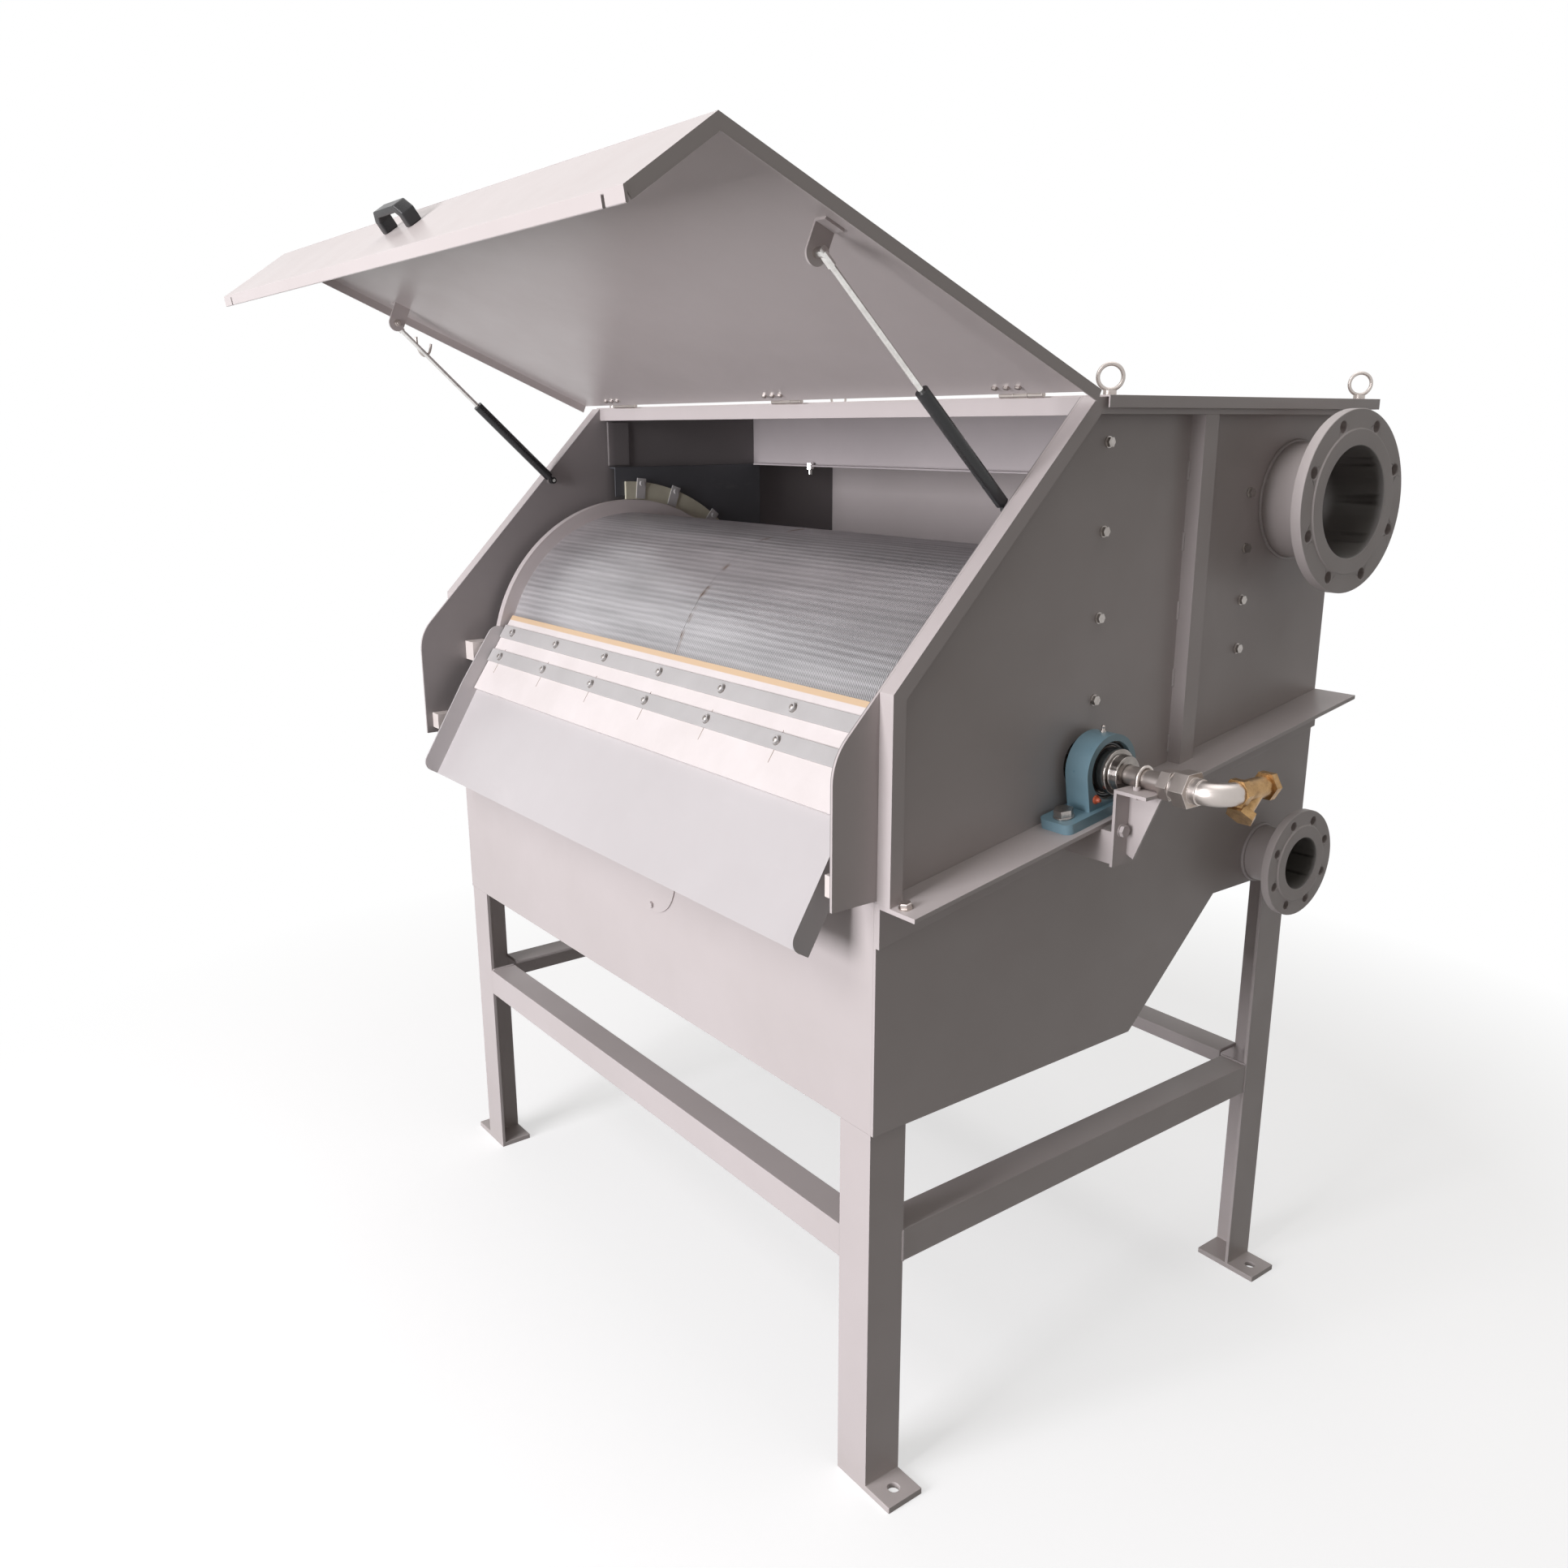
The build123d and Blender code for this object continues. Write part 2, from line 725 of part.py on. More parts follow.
def hinge_leaves():
    """Moving halves of the hinges: outer knuckles and leaves under the hood sheet."""
    leaves = []
    first = radians(180 + slope_angle)
    for x in hinge_positions:
        for x0 in (x - hinge_length / 2, x + hinge_length / 6):
            x1 = x0 + hinge_length / 3
            knuckle = bar_x(x0, x1, hinge_y, hinge_z, hinge_knuckle, hinge_pin + running_fit)
            root = hinge_pin + 1
            near = (slope_run + root * cos(first), hinge_z + root * sin(first))
            reach = hinge_start + hinge_leaf
            far = (slope_run + reach * cos(first), hinge_z + reach * sin(first))
            leaf = band_x([near, far], -hinge_leaf_sheet, 0, x0, x1)
            leaves.append(turn_open(knuckle + leaf))
    return Compound(leaves)


def hinge_casings():
    """Fixed halves of the hinges: middle knuckles, pins and leaves on the top bar."""
    leaves = []
    for x in hinge_positions:
        x0, x1 = x - hinge_length / 6 + running_gap, x + hinge_length / 6 - running_gap
        knuckle = bar_x(x0, x1, hinge_y, hinge_z, hinge_knuckle)
        pin = bar_x(x - hinge_length / 2, x + hinge_length / 2, hinge_y, hinge_z, hinge_pin)
        post = box(x0, x1, hinge_y - 1, hinge_y + 3, casing_top, hinge_z)
        leaf_end = front_y + cover_front - 1
        leaf = box(x0, x1, hinge_y - 1, leaf_end, casing_top, casing_top + hinge_leaf_sheet)
        leaves.append(knuckle + pin + post + leaf)
    return Compound(leaves)


def strut_points(side):
    """Foot and head points of a strut."""
    foot = Vector(side * strut_x, front_y + strut_foot[0], strut_foot[1])
    head = Vector(side * strut_x, front_y + strut_head[0], strut_head[1])
    return foot, head


def strut_cylinder(side):
    """Gas strut tube with its foot eye."""
    foot, head = strut_points(side)
    along = (head - foot).normalized()
    start, end = foot + along * 14, foot + along * strut_tube_length
    tube = bar_between(start, end, strut_tube)
    cavity = bar_between((start + along * 12), (end - along * 10), strut_tube_bore)
    guide = bar_between(start, end, strut_rod + running_fit)
    guide -= bar_between(start, (start + along * 12), strut_tube)
    neck = bar_between(foot, (start + along), 5)
    eye = bar_x(foot.X - strut_half, foot.X + strut_half, foot.Y, foot.Z, strut_eye) + neck
    bore = bar_x(foot.X - strut_half, foot.X + strut_half, foot.Y, foot.Z, strut_stud + running_fit)
    return eye - bore + (tube - cavity - guide)


def strut_shaft(side):
    """Polished rod with its head socket and the stud that meets the lug."""
    foot, head = strut_points(side)
    along = (foot - head).normalized()
    length = (head - foot).length - strut_tube_length + strut_tail
    rod = bar_between(head, (head + along * length), strut_rod)
    socket = bar_between(head, (head + along * 24), 7)
    ends = sorted((side * (strut_x - strut_eye), side * (strut_x + strut_half)))
    stud = bar_x(*ends, head.Y, head.Z, strut_eye)
    return rod + socket + stud


def strut_studs():
    """Foot studs of both struts on the casing sides."""
    y, z = front_y + strut_foot[0], strut_foot[1]
    stud = bar_x(strut_x - strut_eye, leg_face_x, y, z, strut_stud)
    stud += bar_x(strut_x + strut_half + running_gap, leg_face_x, y, z, strut_eye)
    return Compound([stud, mirror(stud, about=Plane.YZ)])


save("hood_panel", hood())
save("hood_handle", hood_handle())
save("hinge_hood_leaves", hinge_leaves())
save("hinge_casing_leaves", hinge_casings())
for side, side_name in ((1, "right"), (-1, "left")):
    save(f"strut_cylinder_{side_name}", strut_cylinder(side))
    save(f"strut_rod_{side_name}", strut_shaft(side))
save("strut_studs", strut_studs())


def drum_screen():
    """Screen jacket between the end rings."""
    inner = screen_radius - screen_sheet
    return bar_x(-ring_inner_face, ring_inner_face, axis_y, axis_height, screen_radius, inner)


def drum_bars():
    """Flat bars inside the screen that carry its wires."""
    bars = []
    middle = screen_radius - screen_sheet - bar_height / 2 - running_fit
    length = 2 * (ring_inner_face - spider_sheet)
    for index in range(bar_count):
        place = Pos(0, axis_y, axis_height) * Rot(index * 360 / bar_count, 0, 0) * Pos(0, middle, 0)
        bars.append(place * Box(length, bar_height, bar_width))
    return Compound(bars)


def drum_end():
    """End ring of the drum with its spokes and hub."""
    x1 = ring_inner_face
    x0 = x1 - spider_sheet
    rim = bar_x(x0, x1, axis_y, axis_height, screen_radius - screen_sheet, ring_bore)
    rim += bar_x(x1, x1 + ring_width, axis_y, axis_height, ring_radius, ring_bore)
    hub = bar_x(x1 - hub_length, x1, axis_y, axis_height, hub_radius)
    arms = []
    for index in range(spider_arms):
        place = Pos((x0 + x1) / 2, axis_y, axis_height) * Rot(index * 360 / spider_arms, 0, 0)
        arms.append(place * Pos(0, ring_bore / 2 + 6, 0) * Box(spider_sheet, ring_bore + 12, arm_width))
    body = rim + hub
    for arm in arms:
        body += arm
    return body - bar_x(x1 - hub_length, x1, axis_y, axis_height, journal_radius)


def insert_sleeve():
    """Inner ring of the right bearing insert, clamped on the journal."""
    x0 = block_x - insert_width / 2
    return bar_x(x0, block_x + insert_reach, axis_y, axis_height, insert_lip, journal_radius)


def journal_right():
    """Hollow journal that lets the spray pipe pass."""
    body = bar_x(ring_inner_face - hub_length, journal_end, axis_y, axis_height, journal_radius)
    body += bar_x(ring_inner_face, collar_start + collar_length, axis_y, axis_height, collar_radius)
    body += insert_sleeve()
    return body - bar_x(ring_inner_face - hub_length, journal_end, axis_y, axis_height, journal_bore)


def journal_left():
    """Solid journal that carries the drive."""
    end = gear_inner - gear_width - strut_half
    inner = hub_length - ring_inner_face
    body = bar_x(end, inner, axis_y, axis_height, journal_radius)
    body += bar_x(-collar_start - collar_length, -ring_inner_face, axis_y, axis_height, collar_radius)
    body += mirror(insert_sleeve(), about=Plane.YZ)
    return body - bar_x(inner - bush_depth, inner, axis_y, axis_height, spray_radius + running_fit)


save("drum_screen", drum_screen())
save("drum_support_bars", drum_bars())
save("drum_end_right", drum_end())
save("drum_end_left", mirror(drum_end(), about=Plane.YZ))
save("drum_journal_right", journal_right())
save("drum_journal_left", journal_left())


def on_flange(shape):
    """Shape built flat about the block foot, leaned with the sloped flange."""
    foot_y, foot_z = block_foot()
    return Pos(block_x, foot_y, foot_z) * Rot(split_angle, 0, 0) * shape


def block_housing():
    """Cast pillow block housing: base, arched body and bore for the insert."""
    base = Pos(0, 0, block_base / 2) * Box(block_width, block_length, block_base)
    base = fillet(base.edges().filter_by(Axis.Z), 14)
    body = Pos(0, 0, block_seat_height) * Rot(0, 90, 0) * Cylinder(block_body_radius, block_body_width)
    web = Pos(0, 0, block_seat_height / 2) * Box(block_body_width, 2 * block_body_radius, block_seat_height)
    shape = base + body + web
    for step in (-1, 1):
        drill = Cylinder(block_bolt / 2 + bolt_room, block_base)
        shape -= Pos(0, step * block_bolt_pitch / 2, block_base / 2) * drill
    shape -= Pos(0, 0, block_seat_height) * Rot(0, 90, 0) * Cylinder(block_bore, block_width + 2)
    return on_flange(shape)


def block_insert():
    """Bearing insert: outer ring seated in the housing, open round the journal."""
    x0 = block_x - insert_width / 2
    outer = block_bore - running_fit
    return bar_x(x0, x0 + insert_width, axis_y, axis_height, outer, insert_lip + running_fit)


def block_bolts():
    """Foot bolts of a block with washers and nuts."""
    bolts = []
    nut = hexagon(block_bolt)
    under = split_sheet + nut_height
    for step in (-1, 1):
        place = Pos(0, step * block_bolt_pitch / 2, 0)
        bolt = place * Pos(0, 0, (block_base - under) / 2) * Cylinder(block_bolt / 2, block_base + under)
        bolt += place * Pos(0, 0, block_base + washer_sheet / 2) * Cylinder(block_bolt * 0.92, washer_sheet)
        bolt += extrude(place * Pos(0, 0, block_base + washer_sheet) * nut, head_ratio * block_bolt)
        bolt += extrude(place * Pos(0, 0, -under) * nut, nut_height)
        bolts.append(on_flange(bolt))
    return bolts


save("bearing_housing_right", block_housing())
save("bearing_housing_left", mirror(block_housing(), about=Plane.YZ))
save("bearing_inserts", Compound([block_insert(), mirror(block_insert(), about=Plane.YZ)]))
bolts = block_bolts()
save("bearing_bolts", Compound(bolts + [mirror(bolt, about=Plane.YZ) for bolt in bolts]))


def blade_line(start, end):
    """Points on the front face of the scraper blade, measured down from its tip."""
    angle = radians(blade_angle)
    points = []
    for distance in (start, end):
        points.append((blade_tip[0] - distance * cos(angle), blade_tip[1] - distance * sin(angle)))
    return points


def chute_line():
    """Front face of the chute from its lip over the fold to its top edge."""
    fold, top = offset_line(blade_line(blade_length, blade_length - chute_upper), -blade_sheet)
    return [chute_lip, fold, top]


def chute():
    """Chute plate with its fold, side flanges and pivot pins."""
    line = chute_line()
    plate = band_x(line, -chute_sheet, 0, -chute_half, chute_half)
    flange = band_x(line, 0, chute_flange, chute_half - chute_sheet, chute_half)
    flange = fillet(flange.edges().filter_by(Axis.X).sort_by(Axis.Y)[0], chute_round_front)
    flange = fillet(flange.edges().filter_by(Axis.X).sort_by(Axis.Z)[-1], chute_round_top)
    pin = bar_x(chute_half, leg_face_x - pivot_radius, front_y + pivot[0], pivot[1], pivot_radius)
    return plate + both_sides(flange + pin)


def scraper_blade():
    """Flat blade with square edges, its back edge just clear of the screen."""
    return band_x(blade_line(0, blade_length), 0, blade_sheet, -blade_half, blade_half)


def clamp_row(distance):
    """Clamp bar on the blade with its row of bolt heads."""
    half = clamp_width / 2
    row = band_x(blade_line(distance - half, distance + half), -clamp_sheet, 0, -blade_half, blade_half)
    y, z = blade_line(distance, distance)[0]
    for index in range(clamp_bolts):
        x = (index - (clamp_bolts - 1) / 2) * clamp_bolt_pitch
        spot = Plane(origin=(x, front_y + y, z), x_dir=(1, 0, 0), z_dir=clamp_normal)
        row += extrude(spot * hexagon(clamp_bolt), clamp_sheet + head_ratio * clamp_bolt)
    return row


def pivot_blocks():
    """Plastic bearing blocks of the chute pins and the stop pads below them."""
    x0, half = chute_half + pivot_radius, pivot_block / 2
    y, z = front_y + pivot[0], pivot[1]
    block = box(x0, leg_face_x, y - half, y + half, z - half, z + half)
    block -= bar_x(x0, leg_face_x, y, z, pivot_radius + running_fit)
    pad_y = front_y - pad_start
    pad_top = pad_bottom + pad_height
    pad = box(leg_face_x - pad_sheet, leg_face_x, pad_y, pad_y + pad_length, pad_bottom, pad_top)
    return [block, pad, mirror(block, about=Plane.YZ), mirror(pad, about=Plane.YZ)]


clamp_normal = (0, -sin(radians(blade_angle)), cos(radians(blade_angle)))
save("chute", chute())
save("scraper_blade", scraper_blade())
save("scraper_clamps", Compound([clamp_row(distance) for distance in clamp_rows]))
save("chute_pivot_blocks", Compound(pivot_blocks()))


def spray_pipe():
    """Spray pipe through the hollow journal with its row of nozzles."""
    pipe = bar_x(spray_inner_end, spray_outer_end, axis_y, axis_height, spray_radius)
    for index in range(nozzle_count):
        x = (index - (nozzle_count - 1) / 2) * nozzle_pitch
        place = Pos(x, axis_y, axis_height) * Rot(nozzle_angle, 0, 0)
        root = spray_radius + nozzle_height / 2 - nozzle_sink
        pipe += place * Pos(0, 0, root) * Cylinder(nozzle_radius, nozzle_height)
    return pipe - bar_x(spray_inner_end + spray_radius, spray_outer_end, axis_y, axis_height, spray_bore)


def hex_along_x(x0, x1, flats):
    """Hexagon bar on the shaft line."""
    face = Plane.YZ.offset(x0) * Pos(axis_y, axis_height) * RegularPolygon(flats / 2, 6, major_radius=False)
    return extrude(face, x1 - x0, dir=(1, 0, 0))


def spray_union():
    """Union with its three hexagons, and the elbow that turns the line to the rear."""
    steps = [spray_outer_end + share * (union_end - spray_outer_end) for share in (0, 0.28, 0.42, 0.8, 1)]
    body = hex_along_x(steps[0], steps[1], union_flats * 0.84)
    body += bar_x(steps[1], steps[2], axis_y, axis_height, union_flats * 0.4)
    body += hex_along_x(steps[2], steps[3], union_flats)
    body += bar_x(steps[3], steps[4], axis_y, axis_height, union_flats * 0.38)
    body -= bar_x(spray_outer_end, union_end, axis_y, axis_height, spray_bore)
    bend = Axis((union_end, axis_y + elbow_radius, axis_height), (0, 0, 1))
    ring = Circle(spray_radius + elbow_wall) - Circle(spray_bore)
    section = Plane.YZ.offset(union_end) * Pos(axis_y, axis_height) * ring
    return body + revolve(section, bend, 90)


def strainer():
    """Strainer with a slanted cleaning branch, in line with the end of the elbow."""
    start = axis_y + elbow_radius
    x = union_end + elbow_radius
    ends = Pos(x, start, axis_height) * Rot(-90, 0, 0)
    nut = RegularPolygon(strainer_flats / 2, 6, major_radius=False)
    body = extrude(ends * nut, strainer_hex)
    body += extrude(ends * Pos(0, 0, strainer_length - strainer_hex) * nut, strainer_hex)
    body += extrude(ends * Pos(0, 0, 1) * Circle(strainer_flats * 0.42), strainer_length - 2)
    slant = Pos(x, start + strainer_length * 0.62, axis_height) * Rot(180 - branch_angle, 0, 0)
    body += extrude(slant * Circle(strainer_flats * 0.36), branch_length)
    body += extrude(slant * Pos(0, 0, branch_length) * nut, strainer_hex)
    body -= extrude(ends * Circle(spray_bore), strainer_length)
    return body


def spray_bracket():
    """Angle bracket under the spray line with its gusset, spacer plate and pipe clip."""
    y0, y1 = front_y + bracket_front, front_y + bracket_front + bracket_width
    top = axis_height - spray_radius - running_gap
    x1 = bracket_x + bracket_sheet
    body = box(bracket_x, x1, y0, y1, bracket_bottom, top)
    body += box(bracket_x, bracket_x + bracket_reach, y0, y1, top - bracket_sheet, top)
    body += box(tank_half + split_sheet, bracket_x, y0, y0 + bracket_sheet, standoff_bottom,
                split_at(bracket_front) - split_sheet)
    under = top - bracket_sheet
    corners = [(x1, under), (x1 + gusset_reach, under), (x1, top - bracket_reach)]
    gusset = Plane.XZ.offset(-(y1 - bracket_sheet)) * Polygon(*corners, align=None)
    body += extrude(gusset, bracket_sheet, dir=(0, -1, 0))
    arch = spray_radius + running_gap + ubolt_bar
    clip = Plane.XY.offset(axis_height) * Pos(ubolt_x, axis_y + arch) * Circle(ubolt_bar)
    body += revolve(clip, Axis((ubolt_x, axis_y, axis_height), (1, 0, 0)), 180)
    for step in (-1, 1):
        y = axis_y + step * arch
        body += Pos(ubolt_x, y, axis_height - ubolt_leg / 2) * Cylinder(ubolt_bar, ubolt_leg)
        body += Pos(ubolt_x, y, top + ubolt_bar) * Cylinder(2 * ubolt_bar, 2 * ubolt_bar)
    return body + hex_bolt_x(x1, front_y + bracket_bolt[0], bracket_bolt[1], bracket_bolt_size)


save("spray_pipe", spray_pipe())
save("spray_union", spray_union())
save("spray_strainer", strainer())
save("spray_bracket", spray_bracket())


def gearmotor():
    """Shaft-mounted gearbox with its rearward motor, held from turning by a stop on the flange."""
    x1, x0 = gear_inner, gear_inner - gear_width
    z0, z1 = axis_height - gear_below, axis_height + gear_above
    body = box(x0, x1, axis_y - gear_half, axis_y + gear_half, z0, z1)
    body = fillet(body.edges().filter_by(Axis.X), gear_round)
    middle = (x0 + x1) / 2
    rear = axis_y + gear_half
    place = Pos(middle, rear, axis_height + motor_rise) * Rot(-90, 0, 0)
    body += extrude(place * Circle(motor_radius * 0.9), motor_flange)
    body += extrude(place * Pos(0, 0, motor_flange) * Circle(motor_radius), motor_length - motor_flange)
    body += extrude(place * Pos(0, 0, motor_length) * Circle(motor_radius * 0.8), motor_flange)
    stop_x = -(tank_half + split_flange)
    y0, y1 = axis_y - stop_half, axis_y + stop_half
    body += box(x1 - motor_flange, stop_x, y0, y1, z0 - stop_reach, z0 + gear_round)
    return body - bar_x(x0, x1, axis_y, axis_height, journal_radius + running_fit)


save("drive_gearmotor", gearmotor())
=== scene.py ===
import json
import math

import bmesh
import bpy
import numpy as np
from mathutils import Matrix, Vector


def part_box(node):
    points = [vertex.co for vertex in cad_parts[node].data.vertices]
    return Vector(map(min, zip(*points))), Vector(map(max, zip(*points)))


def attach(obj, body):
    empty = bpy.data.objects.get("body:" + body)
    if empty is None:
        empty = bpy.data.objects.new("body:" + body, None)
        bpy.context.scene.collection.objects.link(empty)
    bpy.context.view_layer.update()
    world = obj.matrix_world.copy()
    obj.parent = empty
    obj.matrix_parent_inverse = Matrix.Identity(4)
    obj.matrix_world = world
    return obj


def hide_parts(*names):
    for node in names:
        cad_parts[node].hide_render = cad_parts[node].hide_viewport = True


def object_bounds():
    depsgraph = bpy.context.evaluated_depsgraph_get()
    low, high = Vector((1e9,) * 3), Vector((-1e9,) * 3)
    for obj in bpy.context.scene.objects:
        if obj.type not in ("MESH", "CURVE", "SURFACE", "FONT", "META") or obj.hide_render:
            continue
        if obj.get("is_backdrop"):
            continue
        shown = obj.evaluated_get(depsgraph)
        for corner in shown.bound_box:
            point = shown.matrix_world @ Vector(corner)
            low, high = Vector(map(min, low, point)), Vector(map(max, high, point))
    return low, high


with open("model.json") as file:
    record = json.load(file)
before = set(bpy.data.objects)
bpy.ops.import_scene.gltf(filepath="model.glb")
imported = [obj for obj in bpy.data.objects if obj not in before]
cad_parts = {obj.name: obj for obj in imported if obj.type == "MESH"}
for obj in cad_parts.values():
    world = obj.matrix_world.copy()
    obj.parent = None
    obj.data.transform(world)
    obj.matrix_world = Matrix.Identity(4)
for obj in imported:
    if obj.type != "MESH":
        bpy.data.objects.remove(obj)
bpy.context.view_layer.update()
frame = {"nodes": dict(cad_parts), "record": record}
nodes = frame["nodes"]
scene = bpy.context.scene
scene.view_settings.view_transform = "Standard"

# Places that the details share, in metres: the drum's come from the frame
screenLow, screenHigh = (Vector(corner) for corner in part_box("drum_screen"))
drumAxis = (screenLow + screenHigh) / 2
screenRadius = (screenHigh.z - screenLow.z) / 2
screenHalf = screenHigh.x

# The open hood: its hinge line as (y, z), the angle of its panel in degrees and its sheet's thickness
hoodHinge = (-0.158, 1.9315)
hoodAngle = 156.74
hoodSheet = 0.003


def newMaterial(name):
    # Principled shader and output, with nothing else in the tree
    material = bpy.data.materials.new(name)
    material.use_nodes = True
    tree = material.node_tree
    tree.nodes.clear()
    shader = tree.nodes.new("ShaderNodeBsdfPrincipled")
    output = tree.nodes.new("ShaderNodeOutputMaterial")
    tree.links.new(shader.outputs["BSDF"], output.inputs["Surface"])
    return material, tree, shader


def objectPoint(tree, scale=(1, 1, 1), shift=(0, 0, 0)):
    # Object coordinates, shifted and then stretched per axis
    coordinates = tree.nodes.new("ShaderNodeTexCoord")
    move = tree.nodes.new("ShaderNodeMapping")
    move.inputs["Location"].default_value = shift
    stretch = tree.nodes.new("ShaderNodeMapping")
    stretch.inputs["Scale"].default_value = scale
    tree.links.new(coordinates.outputs["Object"], move.inputs["Vector"])
    tree.links.new(move.outputs["Vector"], stretch.inputs["Vector"])
    return stretch.outputs["Vector"]


def axisValue(tree, point, axis):
    split = tree.nodes.new("ShaderNodeSeparateXYZ")
    tree.links.new(point, split.inputs["Vector"])
    return split.outputs[axis]


def calculate(tree, operation, *values):
    # One math node; plain numbers fill sockets and outputs are linked
    node = tree.nodes.new("ShaderNodeMath")
    node.operation = operation
    for socket, value in zip(node.inputs, values):
        if isinstance(value, (int, float)):
            socket.default_value = value
        else:
            tree.links.new(value, socket)
    return node.outputs["Value"]


def noise(tree, point, scale, detail=4, roughness=0.55):
    texture = tree.nodes.new("ShaderNodeTexNoise")
    texture.inputs["Scale"].default_value = scale
    texture.inputs["Detail"].default_value = detail
    texture.inputs["Roughness"].default_value = roughness
    tree.links.new(point, texture.inputs["Vector"])
    return texture.outputs["Fac"]


def ramp(tree, value, low, high, start, end):
    # Value from low to high mapped to the span from start to end, clamped
    node = tree.nodes.new("ShaderNodeMapRange")
    node.inputs["From Min"].default_value = low
    node.inputs["From Max"].default_value = high
    node.inputs["To Min"].default_value = start
    node.inputs["To Max"].default_value = end
    tree.links.new(value, node.inputs["Value"])
    return node.outputs["Result"]


def mixColour(tree, factor, first, second):
    node = tree.nodes.new("ShaderNodeMix")
    node.data_type = "RGBA"
    tree.links.new(factor, node.inputs["Factor"])
    for socket, colour in ((node.inputs[6], first), (node.inputs[7], second)):
        if isinstance(colour, (tuple, list)):
            socket.default_value = (*colour[:3], 1)
        else:
            tree.links.new(colour, socket)
    return node.outputs[2]


def addBump(tree, shader, height, strength, distance, under=None):
    # Bump on the shader, laid over an earlier bump where one is given
    node = tree.nodes.new("ShaderNodeBump")
    node.inputs["Strength"].default_value = strength
    node.inputs["Distance"].default_value = distance
    tree.links.new(height, node.inputs["Height"])
    if under:
        tree.links.new(under.outputs["Normal"], node.inputs["Normal"])
    tree.links.new(node.outputs["Normal"], shader.inputs["Normal"])
    return node


# Painted sheet: warm light grey, faintly clouded, with an orange-peel skin and dust near the floor
sheetLook = {
    "colour": (0.565, 0.512, 0.508),
    "cloud": (0.520, 0.470, 0.462),
    "dust": (0.40, 0.355, 0.32),
    "dustHeight": 0.10,
    "rubbed": (0.66, 0.62, 0.62),
    "rubbedShare": 0.10,
    "specular": 0.45,
    "roughLow": 0.36,
    "roughHigh": 0.50,
    "wave": 0.05,
    "peel": 0.05,
}


def sheetMaterial(name, **changes):
    look = {**sheetLook, **changes}
    material, tree, shader = newMaterial(name)
    point = objectPoint(tree)
    clouds = ramp(tree, noise(tree, point, 1.7, 5, 0.6), 0.35, 0.68, 0, 1)
    colour = mixColour(tree, clouds, look["cloud"], look["colour"])
    smears = noise(tree, objectPoint(tree, (2.2, 2.2, 7)), 1.4, 6, 0.62)
    colour = mixColour(tree, ramp(tree, smears, 0.60, 0.80, 0, look["rubbedShare"]), colour, look["rubbed"])
    low = ramp(tree, axisValue(tree, point, "Z"), 0, look["dustHeight"], 0.45, 0)
    dusty = calculate(tree, "MULTIPLY", low, noise(tree, point, 24, 5))
    colour = mixColour(tree, dusty, colour, look["dust"])
    tree.links.new(colour, shader.inputs["Base Color"])
    shader.inputs["Specular IOR Level"].default_value = look["specular"]
    rough = ramp(tree, noise(tree, point, 9, 6, 0.65), 0.3, 0.75, look["roughLow"], look["roughHigh"])
    tree.links.new(rough, shader.inputs["Roughness"])
    waves = addBump(tree, shader, noise(tree, point, 2.4, 2), look["wave"], 0.02)
    addBump(tree, shader, noise(tree, point, 420, 2), look["peel"], 0.0008, waves)
    return material


# Casing: painted shade on the inner faces, deepest behind the drum seals
casingShadeLook = {
    "face": 0.7955,
    "faceSoft": 0.001,
    "front": 0.46,
    "behind": 0.26,
    "sealLine": -0.120,
    "sealSoft": 0.03,
    "dark": (0.03, 0.03, 0.033),
}


def casingMaterial(look):
    material = sheetMaterial("casingSheet")
    tree = material.node_tree
    shader = tree.nodes["Principled BSDF"]
    point = objectPoint(tree)
    across = calculate(tree, "ABSOLUTE", axisValue(tree, point, "X"))
    inside = ramp(tree, across, look["face"], look["face"] + look["faceSoft"], 1, 0)
    kept = ramp(tree, axisValue(tree, point, "Y"), look["sealLine"] - look["sealSoft"], look["sealLine"],
                look["front"], look["behind"])
    # Share of the paint's own colour: 1 outside, and what is kept of it inside, where the rest is painted
    # shade
    lost = calculate(tree, "MULTIPLY", inside, calculate(tree, "SUBTRACT", 1.0, kept))
    share = calculate(tree, "SUBTRACT", 1.0, lost)
    own = shader.inputs["Base Color"].links[0].from_socket
    tree.links.new(mixColour(tree, share, look["dark"], own), shader.inputs["Base Color"])
    return material


# Pipe connections: a rougher coat of the same paint, with painted shade inside the bore
nozzleLook = {
    "coat": {"colour": (0.54, 0.49, 0.48), "cloud": (0.46, 0.415, 0.405), "peel": 0.25, "roughLow": 0.42,
             "roughHigh": 0.56},
    "boreShade": (0.26, 0.245, 0.235),
    "boreSoft": 0.0015,
    "bores": {"inlet_nozzle": 0.1036, "outlet_nozzle": 0.0540},
}


def nozzleMaterial(name, node, look):
    material = sheetMaterial(name, **look["coat"])
    tree = material.node_tree
    shader = tree.nodes["Principled BSDF"]
    low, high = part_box(node)
    point = objectPoint(tree, shift=(0, -(low.y + high.y) / 2, -(low.z + high.z) / 2))
    squareY = calculate(tree, "POWER", axisValue(tree, point, "Y"), 2.0)
    squareZ = calculate(tree, "POWER", axisValue(tree, point, "Z"), 2.0)
    radius = calculate(tree, "SQRT", calculate(tree, "ADD", squareY, squareZ))
    bore = look["bores"][node]
    # Painted shade inside the bore, within its radius
    inside = ramp(tree, radius, bore, bore + look["boreSoft"], 1, 0)
    outer = shader.inputs["Base Color"].links[0].from_socket
    tree.links.new(mixColour(tree, inside, outer, look["boreShade"]), shader.inputs["Base Color"])
    return material


